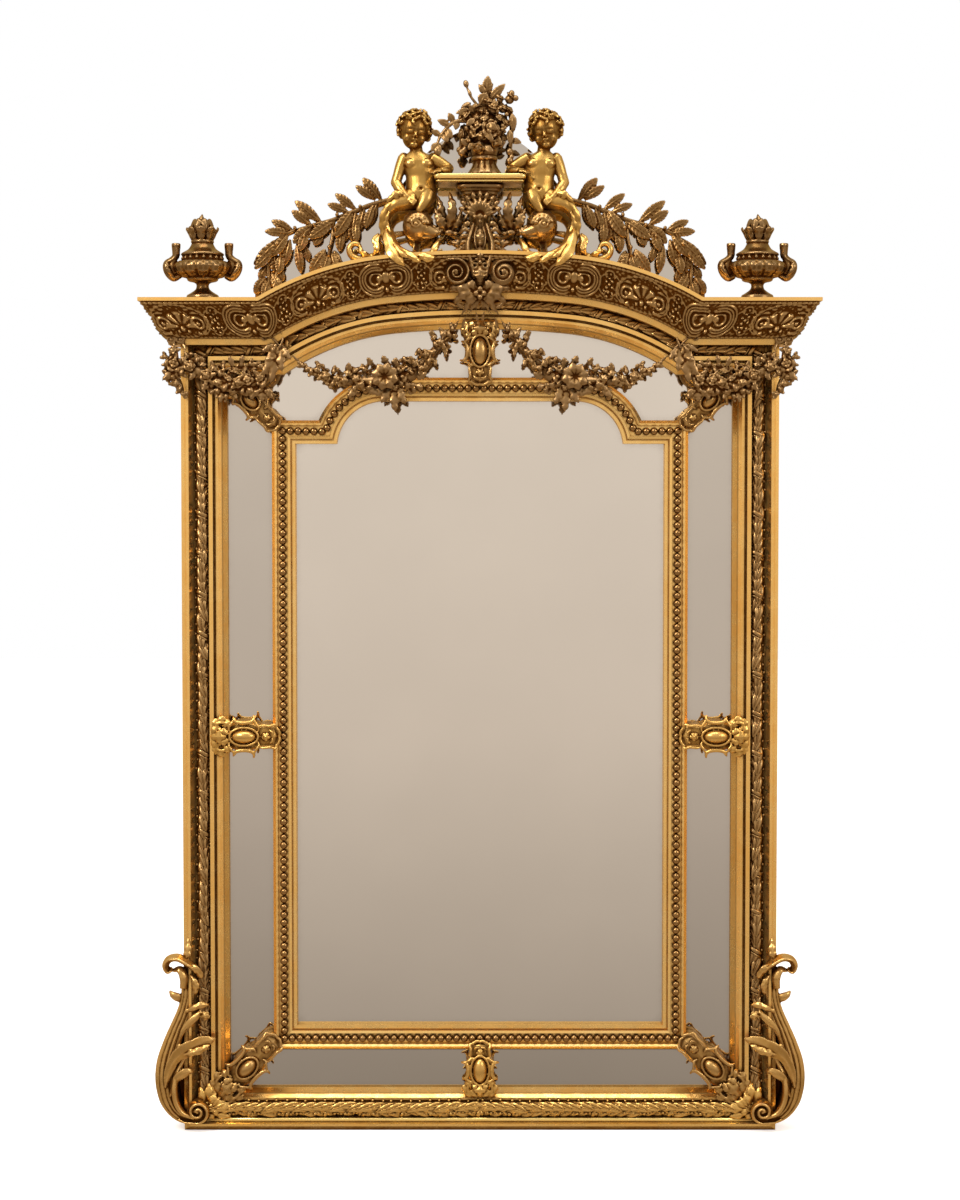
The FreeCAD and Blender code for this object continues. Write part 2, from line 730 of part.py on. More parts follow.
def swag(start, end, sag, bunches, thin, thick):
    """A garland that hangs between two ties: a round body that swells at each bunch of flowers."""
    depth = value("swag_depth")
    rings = []
    count = bunches * 4
    for index in range(count + 1):
        t = index / count
        bulge = 1 - 0.14 * math.cos(2 * math.pi * bunches * t)
        radius = (thin + (thick - thin) * math.sin(math.pi * t)) * bulge
        x = start[0] + (end[0] - start[0]) * t
        z = start[1] + (end[1] - start[1]) * t - 4 * sag * t * (1 - t)
        slope_x, slope_z = end[0] - start[0], end[1] - start[1] - 4 * sag * (1 - 2 * t)
        ring = Part.Wire(Part.makeCircle(radius))
        ring.rotate(FreeCAD.Vector(), FreeCAD.Vector(0, 0, 1), -90)
        ring.rotate(FreeCAD.Vector(), FreeCAD.Vector(0, 1, 0), math.degrees(math.atan2(slope_x, slope_z)))
        ring.translate(point(x, z, depth))
        rings.append(ring)
    return [Part.makeLoft(rings, True)]


def garlands(gilt):
    """Flower swags tied under the cornice, a drop at each outer corner and the knot over the arch."""
    near = ("cornice_right", "cornice_arch", "head_right", "head_arch", "stile_right")
    cornice = [gilt[name] for name in near]
    depth = value("swag_depth")
    tie = (393, 1574)
    outer = swag((611, 1556), tie, 75, 6, 16, 19)
    outer += limb((611, 1550, depth - 8, 19), (604, 1515, depth - 8, 14), (604, 1478, depth - 8, 6))
    outer += [leaf(tie[0], tie[1] - 66, 66, 22, 0, depth - 10, depth + 4)]
    pair(scribed("swag_outer", outer, *cornice), "swag_outer")
    inner = swag((tie[0] - 34, tie[1] - 20), (62, 1580), 56, 7, 15, 21)
    inner += [leaf(172, 1436, 88, 26, 8, depth - 11, depth + 6)]
    inner += [leaf(218, 1446, 80, 24, -14, depth - 9, depth + 5)]
    pair(scribed("swag_inner", inner, *cornice), "swag_inner")
    front = value("cornice_depth")
    knot = [egg(0, 1668, front - 20, 30, 24, 22)]
    for lean, length in ((-125, 74), (-70, 52), (0, 40), (70, 52), (125, 74)):
        knot.append(leaf(0, 1668, length, 26, lean, front - 22, front - 6))
    keep(scribed("knot", knot, gilt["cornice_arch"], gilt["clasp_top"]), "knot")


def scroll_foot(gilt):
    """The scroll outside the foot of a stile: a curl above, a belly, and a volute on the front."""
    edge = value("frame_half")
    spread = value("foot_spread")
    outer = curve_through([
        (edge + 30, 349), (edge + 10, 292), (edge + 23, 212), (spread - 4, 120),
        (spread - 6, 58), (edge + 6, 4), (edge - 20, 0),
    ])
    start, end = outer.Vertexes[0].Point, outer.Vertexes[-1].Point
    inner = [
        Part.makeLine(end, point(edge - 44, 0)),
        Part.makeLine(point(edge - 44, 0), point(edge - 44, 64)),
        Part.makeLine(point(edge - 44, 64), point(edge, 110)),
        Part.makeLine(point(edge, 110), point(edge, 349)),
        Part.makeLine(point(edge, 349), start),
    ]
    body = slab(Part.Wire([outer] + inner), 24, 104)
    forward = FreeCAD.Vector(0, -1, 0)
    curl = Part.makeCylinder(16, 68, point(edge + 23, 333, 40), forward)
    volute = Part.makeCylinder(21.5, 34, point(edge - 29, 43.5, 80), forward)
    neighbours = [gilt["stile_right"], gilt["rail_bottom"], gilt["back_stile_right"]]
    floor = Part.makeBox(400, 300, 50, FreeCAD.Vector(400, -200, -50))
    return scribed("scroll_foot", [body.cut(floor), curl, volute], *neighbours)


def urn():
    """A lidded urn with square handles and a flame, built up from turned stages."""
    label = "urn"
    x, depth, base = value("urn_x"), value("urn_depth"), value("head_sight + cornice_top")
    scale = value("urn_height") / 168
    stages = [(30, 27, 0, 7), (25, 9, 7, 20), (9, 10, 20, 44), (16, 16, 40, 44), (12, 46, 44, 60),
              (46, 54, 60, 76), (54, 50, 76, 84), (56, 56, 84, 90), (38, 30, 90, 104), (30, 12, 104, 122),
              (14, 14, 122, 126)]
    shapes = []
    for low_radius, high_radius, low, high in stages:
        place, height = point(x, base + low * scale, depth), (high - low) * scale
        up = FreeCAD.Vector(0, 0, 1)
        if low_radius == high_radius:
            shapes.append(Part.makeCylinder(low_radius, height, place, up))
        else:
            shapes.append(Part.makeCone(low_radius, high_radius, height, place, up))
    flame = base + 122 * scale
    shapes += limb((x, flame + 12, depth, 16), (x + 4, flame + 28, depth, 10), (x, flame + 44, depth, 3))
    for sign in (-1, 1):
        handle_x = x + sign * 54
        shapes += limb((handle_x, base + 54, depth, 5), (x + sign * 66, base + 62, depth, 5),
                       (x + sign * 66, base + 90, depth, 5), (handle_x - sign * 4, base + 94, depth, 5))
        shapes += limb((x + sign * 66, base + 92, depth, 5), (x + sign * 66, base + 108, depth, 2))
    return coded(label, joined(shapes))


def pedestal(gilt):
    """Cap, shell, lyre-shaped stem and a pair of volutes, on the front of the cornice."""
    front = value("cornice_depth")
    middle = value("crest_depth")
    cap_top = value("ledge_bottom")
    shapes = [
        Part.makeBox(96, 74, 9, point(-48, cap_top - 9, middle + 37)),
        Part.makeBox(72, 70, 22, point(-36, cap_top - 22, middle + 35)),
        egg(0, cap_top - 46, middle + 10, 30, 30, 34),
    ]
    shapes += limb((0, cap_top - 66, middle + 14, 22), (0, 1768, front - 16, 17), (0, 1712, front - 6, 13))
    for sign in (-1, 1):
        for lean, length in ((38, 92), (66, 66)):
            shapes.append(leaf(0, 1766, length, 26, sign * lean, front - 26, front - 10))
        centre = point(sign * 44, 1711, front - 34)
        shapes.append(Part.makeCylinder(25, 42, centre, FreeCAD.Vector(0, -1, 0)))
        shapes += limb((sign * 44, 1734, front - 12, 9), (0, 1762, front - 12, 10))
        shapes += limb((sign * 30, 1708, front - 16, 9), (0, 1704, front - 16, 10))
    shapes.append(Part.makeBox(60, 60, 60, point(-30, 1740, middle + 30)))
    return scribed("pedestal", shapes, gilt["cornice_arch"])


def bouquet():
    """A footed vase that holds an open bunch of flowers, built as one carving."""
    depth, base = value("crest_depth"), value("ledge_top")
    flowers = value("crest_top")
    shapes = [
        Part.makeCone(33, 21, 34, point(9, base, depth), FreeCAD.Vector(0, 0, 1)),
        Part.makeCone(17, 28, 24, point(9, base + 34, depth), FreeCAD.Vector(0, 0, 1)),
    ]
    heads = [(8, 66, 22), (-14, 84, 20), (26, 86, 21), (4, 106, 22), (-22, 118, 18),
             (36, 120, 19), (10, 136, 20), (-8, 158, 17), (24, 162, 18), (10, 180, 13)]
    for x, up, radius in heads:
        shapes.append(Part.makeSphere(radius, point(x, base + up, depth)))
    shapes.append(leaf(12, base + 150, flowers - base - 150, 26, 4, depth - 8, depth + 6))
    shapes += limb((-20, base + 74, depth, 7), (-58, base + 44, depth, 6), (-80, base + 58, depth, 4))
    shapes += limb((40, base + 120, depth, 12), (58, base + 70, depth, 10), (62, base + 22, depth, 8))
    return coded("bouquet", joined(shapes))


def putto():
    """A child's figure leaning out from the ledge, ending in foliage below the knee."""
    depth = value("crest_depth")
    shapes = [
        egg(128.6, 1989, depth, 32, 36, 34),
        egg(120, 1921, depth, 35, 34, 27, -8),
        egg(117, 1880, depth, 31, 36, 27),
        egg(128, 1853, depth, 36, 30, 30, -15),
    ]
    shapes += limb((126, 1958, depth, 15), (122, 1940, depth, 18))
    shapes += limb((146, 1930, depth, 15), (164, 1888, depth, 11), (136, 1853, depth + 26, 9))
    shapes += limb((96, 1934, depth, 14), (72, 1922, depth + 4, 10), (54, 1914, depth + 4, 9))
    thigh = ((150, 1857, 27), (189, 1824, 21), (196, 1785, 14), (190, 1764, 9))
    shapes += limb(*[(x, z, depth, radius) for x, z, radius in thigh])
    return shapes


def crest_scroll():
    """The acanthus scroll under a putto, wound round a ball-shaped head with a snout."""
    depth = value("crest_depth")
    centre = (122.7, 1804)
    shapes = [Part.makeSphere(29.5, point(*centre, depth))]
    shapes += limb((centre[0] - 10, centre[1] - 4, depth, 20), (74, 1797, depth, 12))
    wound = [math.radians(angle) for angle in range(-160, 41, 40)]
    coil = 51
    shapes += limb(*[
        (centre[0] + coil * math.cos(angle), centre[1] + coil * math.sin(angle), depth, 9) for angle in wound
    ])
    below = [(centre[0] + 3, centre[1] - 27, depth + 2, 14), (centre[0] + 5, centre[1] - 50, depth + 3, 12)]
    shapes += limb(*below)
    shapes.append(leaf(150, 1763, 78, 34, 76, depth - 16, depth + 10))
    shapes.append(leaf(86, 1784, 64, 26, 247, depth - 11, depth + 9))
    front = value("cornice_depth")
    shapes.append(leaf(168, 1775, 59, 22, 203, front - 62, front + 5))
    shapes.append(leaf(142, 1757, 40, 18, 236, front - 56, front + 3))
    curl = ((212, 1773, 12), (232, 1752, 10), (257, 1755, 8), (264, 1771, 5))
    shapes += limb(*[(x, z, depth, radius) for x, z, radius in curl])
    return shapes


def laurel():
    """A bent laurel spray with leaves in pairs along its stem and two hanging tips."""
    back = value("plate_back")
    stem = [(186, 1859), (232, 1848), (290, 1826), (334, 1808), (376, 1790), (412, 1756), (443, 1716)]
    shapes = limb(*[(x, z, back + 12, 6.5) for x, z in stem])
    for index, (x, z) in enumerate(stem[:-1]):
        next_x, next_z = stem[index + 1]
        heading = math.degrees(math.atan2(next_x - x, next_z - z))
        for share, turn, front in ((0.12, -36, 11), (0.3, 43, 9), (0.62, -36, 11), (0.8, 43, 9)):
            place = (x + (next_x - x) * share, z + (next_z - z) * share)
            shapes.append(leaf(*place, 53, 16, heading + turn, back, back + front))
    shapes.append(leaf(*stem[-1], 50, 18, 172, back, back + 12))
    for x, top, bottom in ((302, 1822, 1716), (418, 1752, 1682)):
        shapes += limb((x, top, back + 12, 5), (x, bottom + 30, back + 12, 4))
        for lean, start in ((-28, 50), (0, 46), (28, 43)):
            shapes.append(leaf(x - lean / 20, bottom + start, 46, 15, 180 + lean, back, back + 12))
    return shapes


def crest(gilt):
    """Everything above the cornice."""
    pair(urn(), "urn")
    top = curve_through([
        (0, 2008), (43, 1998), (75, 1981), (105, 1958), (135, 1922), (165, 1884), (205, 1852),
        (262, 1822), (352, 1780), (424, 1700),
    ])
    left = top.mirror(FreeCAD.Vector(), FreeCAD.Vector(1, 0, 0))
    foot = straight((424, 1700), (424, 1663), (-424, 1663), (-424, 1700))
    outline = Part.Wire(Part.__sortEdges__([top, left] + foot))
    board_back, face = value("board_depth") - 20, value("board_depth")
    keep(scribed("crest_board", [slab(outline, board_back, face)], gilt["back_head"]), "crest_board")
    crest_plate = [slab(outline, face, value("plate_back"))]
    level = [gilt[name] for name in ("cornice_arch", "cornice_right", "cornice_left")]
    keep(scribed("plate_crest", crest_plate, *level), "plate_crest")
    gilt["pedestal"] = keep(pedestal(gilt), "pedestal")
    shelf = ("0 - ledge_half", "ledge_half", "ledge_bottom", "ledge_top")
    gilt["ledge"] = keep(board("ledge", *shelf, "crest_depth - 45", "crest_depth + 50"), "ledge")
    gilt["bouquet"] = keep(bouquet(), "bouquet")
    document.recompute()
    gilt["putto"] = scribed("putto", putto(), gilt["ledge"], gilt["bouquet"], gilt["pedestal"])
    pair(gilt["putto"], "putto")
    under = [gilt[name] for name in ("putto", "pedestal", "cornice_arch")]
    gilt["scroll"] = scribed("crest_scroll", crest_scroll(), *under)
    pair(gilt["scroll"], "crest_scroll")
    on_crest = [gilt[name] for name in ("putto", "scroll", "cornice_right", "cornice_arch")]
    pair(scribed("laurel", laurel(), *on_crest), "laurel")


def rod(label, x, z, back, front, radius):
    """A round bar that runs square to the wall, between two depths."""
    piece = document.addObject("Part::Cylinder", label)
    piece.Placement = FreeCAD.Placement(FreeCAD.Vector(), FreeCAD.Rotation(FreeCAD.Vector(1, 0, 0), 90))
    piece.setExpression("Radius", bound(radius))
    piece.setExpression("Height", bound(f"({front}) - ({back})"))
    piece.setExpression("Placement.Base.x", bound(x))
    piece.setExpression("Placement.Base.y", bound(f"wall_y - ({back})"))
    piece.setExpression("Placement.Base.z", bound(z))
    return piece


def combined(kind, label, pieces):
    """A boolean of earlier pieces: MultiFuse adds them, Cut takes the second from the first."""
    piece = document.addObject(f"Part::{kind}", label)
    if kind == "MultiFuse":
        piece.Shapes = pieces
    else:
        piece.Base, piece.Tool = pieces
    return piece


def hanger_plate(label, grow):
    """The outline of a hanger plate, as a block that can also cut its own recess."""
    return board(
        label, f"hanger_x - 20 - {grow}", f"hanger_x + 20 + {grow}",
        f"hanger_z - 36 - {grow}", f"hanger_z + 36 + {grow}", "0", f"hanger_thick + 8 * {grow}",
    )


def screw(label, height):
    """A countersunk screw, its head flush with the plate."""
    head = rod(f"{label}_head", "hanger_x", height, "0", "hanger_thick / 2", "screw_radius * 2")
    shank = rod(f"{label}_shank", "hanger_x", height, "0", "board_depth - 10", "screw_radius")
    return combined("MultiFuse", label, [head, shank])


def hangers_and_stiles():
    """The pine stiles, with iron hanger plates let in flush and screwed from behind."""
    screws = [screw("screw_low", "hanger_z - 26"), screw("screw_high", "hanger_z + 26")]
    keyhole = rod("keyhole", "hanger_x", "hanger_z", "0", "hanger_thick", "hanger_hole")
    plate_tool = combined("MultiFuse", "plate_holes", screws + [keyhole])
    plate = combined("Cut", "hanger", [hanger_plate("hanger_block", "0"), plate_tool])
    recess = combined("MultiFuse", "stile_recess", [hanger_plate("hanger_recess", "0.5"), *screws])
    blank = board("stile_blank", carcass_edge, "frame_half - 4", "0", carcass_top, "0", "board_depth")
    pair(combined("Cut", "back_stile", [blank, recess]), "back_stile")
    both_sides(plate, "hangers")
    both_sides(combined("MultiFuse", "screws", screws), "hanger_screws")


carcass()
hangers_and_stiles()
gilt = mouldings()
plates()
beads()
document.recompute()
for piece in sub_parts:
    gilt[piece.Label] = piece
clasps(gilt)
document.recompute()
garlands(gilt)
pair(scroll_foot(gilt), "scroll_foot")
crest(gilt)

document.recompute()
for piece in document.Objects:
    if "Invalid" in piece.State or "Error" in piece.State:
        raise ValueError(f"{piece.Label}: {piece.State}")
broken = [piece.Label for piece in sub_parts if piece.Shape.isNull() or not piece.Shape.isValid()]
if broken:
    raise ValueError(f"shapes that are not whole: {broken}")
os.makedirs("parts", exist_ok=True)
for piece in sub_parts:
    piece.Shape.exportStep(f"parts/{piece.Label}.step")
    print(piece.Label, len(piece.Shape.Solids), round(piece.Shape.Volume / 1000))
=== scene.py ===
from math import acos, atan2, cos, pi, radians, sin, sqrt

import bpy
import numpy as np
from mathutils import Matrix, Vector


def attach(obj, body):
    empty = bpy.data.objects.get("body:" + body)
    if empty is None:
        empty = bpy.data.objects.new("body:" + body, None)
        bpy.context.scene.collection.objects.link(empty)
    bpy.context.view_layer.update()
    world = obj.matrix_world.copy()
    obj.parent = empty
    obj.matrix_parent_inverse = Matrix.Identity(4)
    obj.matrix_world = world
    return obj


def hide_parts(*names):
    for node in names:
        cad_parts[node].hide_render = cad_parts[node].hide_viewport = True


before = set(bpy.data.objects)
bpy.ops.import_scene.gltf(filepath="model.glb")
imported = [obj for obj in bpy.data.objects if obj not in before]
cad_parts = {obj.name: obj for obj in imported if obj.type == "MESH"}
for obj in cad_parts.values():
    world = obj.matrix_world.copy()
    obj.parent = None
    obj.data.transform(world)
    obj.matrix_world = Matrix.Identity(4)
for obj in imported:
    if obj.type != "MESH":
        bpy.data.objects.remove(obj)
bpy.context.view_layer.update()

# Sizes are in millimetres and meshes are made in metres.
# Across is X, up is Z, and depth is measured forward from the wall, which stands at wallY.

wallY = 90.0
outward = np.array((0.0, -1.0, 0.0))
sides = {"right": 1, "left": -1}


def at(x, z, depth):
    return np.array((x, wallY - depth, z), float)


def unit(v):
    return v / (np.linalg.norm(v) + 1e-9)


def smoothPath(knots, steps=8, depth=0.0):
    # Catmull-Rom through the knots, each a place, height and depth beyond the given one
    p = np.array([at(x, z, depth + q) for x, z, q in knots])
    p = np.vstack([2 * p[0] - p[1], p, 2 * p[-1] - p[-2]])
    out = []
    for i in range(1, len(p) - 2):
        for k in range(steps):
            t = k / steps
            out.append(0.5 * (2 * p[i] + (p[i + 1] - p[i - 1]) * t
                              + (2 * p[i - 1] - 5 * p[i] + 4 * p[i + 1] - p[i + 2]) * t ** 2
                              + (3 * p[i] - p[i - 1] - 3 * p[i + 1] + p[i + 2]) * t ** 3))
    out.append(p[-2])
    return np.array(out)


def spiralPath(x, z, depth, start, end, outer, inner, steps=40, lift=0.0):
    # from radius outer at angle start to radius inner at angle end, in degrees
    t = np.linspace(0, 1, steps)
    angle = np.radians(start + (end - start) * t)
    radius = outer + (inner - outer) * t ** 0.8
    return np.stack([x + radius * np.cos(angle), wallY - depth - lift * t, z + radius * np.sin(angle)], 1)


def framesAlong(path, normal=outward):
    # outward normal and side at each point, carried along without twist
    tangent = np.gradient(path, axis=0)
    tangent /= np.linalg.norm(tangent, axis=1)[:, None] + 1e-9
    n = unit(np.array(normal, float) - tangent[0] * np.dot(normal, tangent[0]))
    normals = []
    for t in tangent:
        n = unit(n - t * np.dot(n, t))
        normals.append(n)
    normals = np.array(normals)
    return normals, np.cross(tangent, normals)


def circle(x, z, depth, wide, high, count):
    # a closed line that faces forward
    a = np.linspace(0, 2 * pi, count)
    return np.stack([x + wide * np.cos(a), 0 * a + wallY - depth, z + high * np.sin(a)], 1)


class Carving:
    # closed shells that become one piece
    def __init__(self):
        self.points, self.faces, self.total = [], [], 0

    def add(self, points, faces):
        self.points.append(np.asarray(points, float))
        self.faces += [tuple(i + self.total for i in f) for f in faces]
        self.total += len(points)

    def loft(self, rings):
        rings = np.asarray(rings)
        m, k = rings.shape[:2]
        faces = []
        for i in range(m - 1):
            for j in range(k):
                a, b = i * k + j, i * k + (j + 1) % k
                faces.append((a, b, b + k, a + k))
        faces.append(tuple(range(k - 1, -1, -1)))
        faces.append(tuple((m - 1) * k + j for j in range(k)))
        # every shell is turned with its faces outward
        p = rings.reshape(-1, 3) - rings.mean((0, 1))
        a, b, d, e = (p[np.array(faces[:-2])[:, n]] for n in range(4))
        if (np.cross(a, b) * d).sum() + (np.cross(a, d) * e).sum() < 0:
            faces = [f[::-1] for f in faces]
        self.add(rings.reshape(-1, 3), faces)

    def tube(self, path, radii, flat=1.0, around=10, normal=outward, flutes=0, fluteDepth=0.0):
        path = np.asarray(path, float)
        radii = (radii, radii) if np.ndim(radii) == 0 else radii
        radii = np.interp(np.linspace(0, 1, len(path)), np.linspace(0, 1, len(radii)), radii)
        normals, side = framesAlong(path, normal)
        angle = np.linspace(0, 2 * pi, around, endpoint=False)
        swell = 1 + fluteDepth * np.cos(flutes * angle) if flutes else np.ones(around)
        across = (np.cos(angle) * swell)[None, :, None]
        up = (np.sin(angle) * swell)[None, :, None]
        r = radii[:, None, None]
        self.loft(path[:, None, :] + side[:, None, :] * across * r + normals[:, None, :] * up * r * flat)

    def rod(self, knots, radii, depth=0.0, **shape):
        # a tube through knots of place, height and depth
        self.tube(smoothPath(knots, depth=depth), radii, **shape)

    def ball(self, centre, radii, axis=(0, 0, 1), normal=outward, rings=9, around=12):
        # radii are along the axis, to the side and outward
        radii = (radii,) * 3 if np.ndim(radii) == 0 else radii
        axis = unit(np.array(axis, float))
        n = np.array(normal, float) if abs(np.dot(normal, axis)) < 0.95 else np.array((0.0, 0.0, 1.0))
        n = unit(n - axis * np.dot(n, axis))
        side = np.cross(axis, n)
        a = np.linspace(0.02, pi - 0.02, rings)
        b = np.linspace(0, 2 * pi, around, endpoint=False)
        ring = (np.array(centre, float) - axis * (np.cos(a) * radii[0])[:, None, None]
                + side * (np.sin(a)[:, None] * np.cos(b) * radii[1])[:, :, None]
                + n * (np.sin(a)[:, None] * np.sin(b) * radii[2])[:, :, None])
        self.loft(ring)

    def berries(self, depth, spots, rings=7, around=9):
        # small balls: place, height and radius of each
        for x, z, r in spots:
            self.ball(at(x, z, depth), r, rings=rings, around=around)

    def leaf(self, path, width, thick=3.0, lobes=0, notch=0.3, rib=1.5, veins=0.0, normal=outward,
             peak=0.4, tip=0.04, base=0.25, steps=None, rows=9):
        # a blade along a path: width over length, lobes cut its edge, rib raises its middle line
        path = np.asarray(path, float)
        m = steps or max(14, 6 * lobes + 8)
        s = np.linspace(0, 1, m)
        old = np.linspace(0, 1, len(path))
        path = np.stack([np.interp(s, old, path[:, k]) for k in range(3)], 1)
        normals, side = framesAlong(path, normal)
        grow = np.where(s < peak, base + (1 - base) * np.sin(s / peak * pi / 2),
                        tip + (1 - tip) * np.cos((s - peak) / (1 - peak) * pi / 2) ** 0.8)
        if lobes:
            wave = np.abs(np.sin(pi * lobes * s ** 0.9))
            grow = grow * (1 - notch + notch * wave ** 0.6)
        half = width / 2 * grow
        t = np.linspace(-1, 1, rows)
        reach = np.abs(t)[None, :]
        rise = rib * (1 - reach) ** 1.5
        if lobes and veins:
            rise = rise + veins * (np.abs(np.sin(pi * lobes * np.clip(s[:, None] - 0.05 * reach, 0,
                1) ** 0.9)) * reach ** 0.7 - 0.5)
        elif veins:
            rise = rise + veins * np.cos(14 * pi * (s[:, None] - 0.12 * reach)) * reach
        rise = rise * np.minimum(1, half / (width * 0.25))[:, None]
        body = thick * (0.35 + 0.65 * (1 - reach ** 2)) * np.minimum(1, 0.35 + half / (width * 0.4))[:, None]
        centre = path[:, None, :] + side[:, None, :] * (half[:, None] * t[None, :])[:, :, None]
        front = centre + normals[:, None, :] * (rise + body / 2)[:, :, None]
        back = centre + normals[:, None, :] * (rise - body / 2)[:, :, None]
        self.loft(np.concatenate([front, back[:, ::-1]], 1))

    def twin(self):
        # the same carving on the other side of the middle
        other = Carving()
        other.points = [points * (-1, 1, 1) for points in self.points]
        other.faces = [tuple(reversed(f)) for f in self.faces]
        other.total = self.total
        return other

    def mesh(self, name):
        data = bpy.data.meshes.new(name)
        data.from_pydata((np.vstack(self.points) * 0.001).tolist(), [], self.faces)
        data.update()
        return data


# steps of softening, and how many millimetres above or below the softened surface count as much
softening = {"kept": 0.3, "spans": {4: 0.22, 16: 0.9}}


def hollows(data, lift=0.0):
    # how far each point stands above or below its softened surroundings, from about -1 to 1
    count = len(data.vertices)
    co, normal = np.empty(count * 3, np.float32), np.empty(count * 3, np.float32)
    data.vertices.foreach_get("co", co)
    data.vertex_normals.foreach_get("vector", normal)
    edges = np.empty(len(data.edges) * 2, np.int32)
    data.edges.foreach_get("vertices", edges)
    ends = np.concatenate([edges[::2], edges[1::2]])
    others = np.concatenate([edges[1::2], edges[::2]])
    share = 1 / np.maximum(1, np.bincount(ends, minlength=count))
    start = co.reshape(-1, 3).astype(float) * 1000
    normal = normal.reshape(-1, 3)
    soft = start
    tone = np.zeros(count)
    kept, spans = softening["kept"], softening["spans"]
    for step in range(1, max(spans) + 1):
        near = np.stack([np.bincount(ends, soft[others, k], count) * share for k in range(3)], 1)
        soft = soft * kept + near * (1 - kept)
        if step in spans:
            tone += np.tanh(((start - soft) * normal).sum(1) / spans[step]) / len(spans)
    # the gildings darken low points and lighten high ones by this: dust with painted shade, and painted highlight
    attribute = data.attributes.new("relief", "FLOAT", "POINT")
    attribute.data.foreach_set("value", (tone + lift).astype(np.float32))


def settle(piece, material, replaces=(), lift=0.0):
    # everything a finished piece needs
    for polygon in piece.data.polygons:
        polygon.use_smooth = True
    hollows(piece.data, lift)
    piece.data.materials.clear()
    piece.data.materials.append(material)
    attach(piece, "root")
    if replaces:
        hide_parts(*replaces)
    return piece


def addObject(data):
    piece = bpy.data.objects.new(data.name, data)
    bpy.context.scene.collection.objects.link(piece)
    return piece


def baked(piece, name):
    # the evaluated mesh, with no modifier left
    depsgraph = bpy.context.evaluated_depsgraph_get()
    data = bpy.data.meshes.new_from_object(piece.evaluated_get(depsgraph))
    data.name = name
    bpy.data.objects.remove(piece)
    return addObject(data)


def fuse(carving, name, voxel, soften, share=0.52):
    # union of the shells, as if cut from one block and coated with gesso
    piece = addObject(carving.mesh(name + "Raw"))
    remesh = piece.modifiers.new("fuse", "REMESH")
    remesh.mode = "VOXEL"
    remesh.voxel_size = voxel * 0.001
    if soften:
        smooth = piece.modifiers.new("soften", "SMOOTH")
        smooth.factor = 0.5
        smooth.iterations = soften
    # fewer, larger triangles where the surface is calm
    thin = piece.modifiers.new("thin", "DECIMATE")
    thin.ratio = share
    return baked(piece, name)


def carved(carving, name, slot, material, voxel, soften):
    # a piece that stands in for the solid of its name, where there is one
    solid = name.removesuffix("_carved").removesuffix("_moulded")
    replaces = (solid,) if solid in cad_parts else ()
    piece = settle(fuse(carving, name, voxel, soften), material, replaces)
    print("carved", name, len(piece.data.polygons))


def carvedPairs(*rows):
    # each row is a piece for the right side, as for carved; the left has its mirror image
    for word, side in sides.items():
        for carving, name, *look in rows:
            carved(carving if side > 0 else carving.twin(), name.format(word), *look)


class Wire:
    # a node socket that takes part in arithmetic
    def __init__(self, graph, socket):
        self.graph, self.socket = graph, socket

    def math(self, kind, other):
        return self.graph.node("Math", {0: self, 1: other}, operation=kind)

    def __add__(self, other):
        return self.math("ADD", other)

    def __sub__(self, other):
        return self.math("SUBTRACT", other)

    def __mul__(self, other):
        return self.math("MULTIPLY", other)

    def __rsub__(self, other):
        return self.graph.node("Math", {0: other, 1: self}, operation="SUBTRACT")

    __radd__, __rmul__ = __add__, __mul__

    def ramp(self, low, high, start=0.0, end=1.0):
        # from start to end as the value goes from low to high
        return self.graph.node("MapRange", {"Value": self, "From Min": low, "From Max": high, "To Min": start,
            "To Max": end}, interpolation_type="SMOOTHSTEP")


class Graph:
    def __init__(self, name, tree=None):
        if tree is None:
            self.material = bpy.data.materials.new(name)
            self.material.use_nodes = True
            tree = self.material.node_tree
        self.tree = tree
        self.tree.nodes.clear()
        self.place = self.node("TexCoord", output="Object")

    def node(self, kind, inputs=None, output=0, **settings):
        made = self.tree.nodes.new("ShaderNode" + kind)
        for key, setting in settings.items():
            setattr(made, key, setting)
        for key, given in (inputs or {}).items():
            if isinstance(given, Wire):
                self.tree.links.new(given.socket, made.inputs[key])
            else:
                made.inputs[key].default_value = given
        return Wire(self, made.outputs[output]) if len(made.outputs) else None

    def noise(self, scale, detail=3.0, roughness=0.55, place=None):
        return self.node("TexNoise", {"Vector": place or self.place, "Scale": scale, "Detail": detail,
            "Roughness": roughness})

    def mix(self, factor, a, b):
        made = self.tree.nodes.new("ShaderNodeMix")
        made.data_type = "RGBA"
        for key, given in ((0, factor), (6, a), (7, b)):
            if isinstance(given, Wire):
                self.tree.links.new(given.socket, made.inputs[key])
            else:
                made.inputs[key].default_value = given if key == 0 else (*given, 1.0)
        return Wire(self, made.outputs[2])

    def bump(self, height, strength, distance):
        return self.node("Bump", {"Height": height, "Strength": strength, "Distance": distance})

    def surface(self, **inputs):
        shader = self.node("BsdfPrincipled", {key.replace("_", " "): given for key, given in inputs.items()})
        self.node("OutputMaterial", {"Surface": shader})
        return self.material


gilding = {"clay": (0.30, 0.085, 0.03), "edgeTint": (1.0, 0.80, 0.50, 1.0), "edgeLevel": 0.08,
           "grain": 0.35, "grainDepth": 0.0012, "groundShade": 0.62, "groundBlur": 0.002, "shadeDark": 0.66}


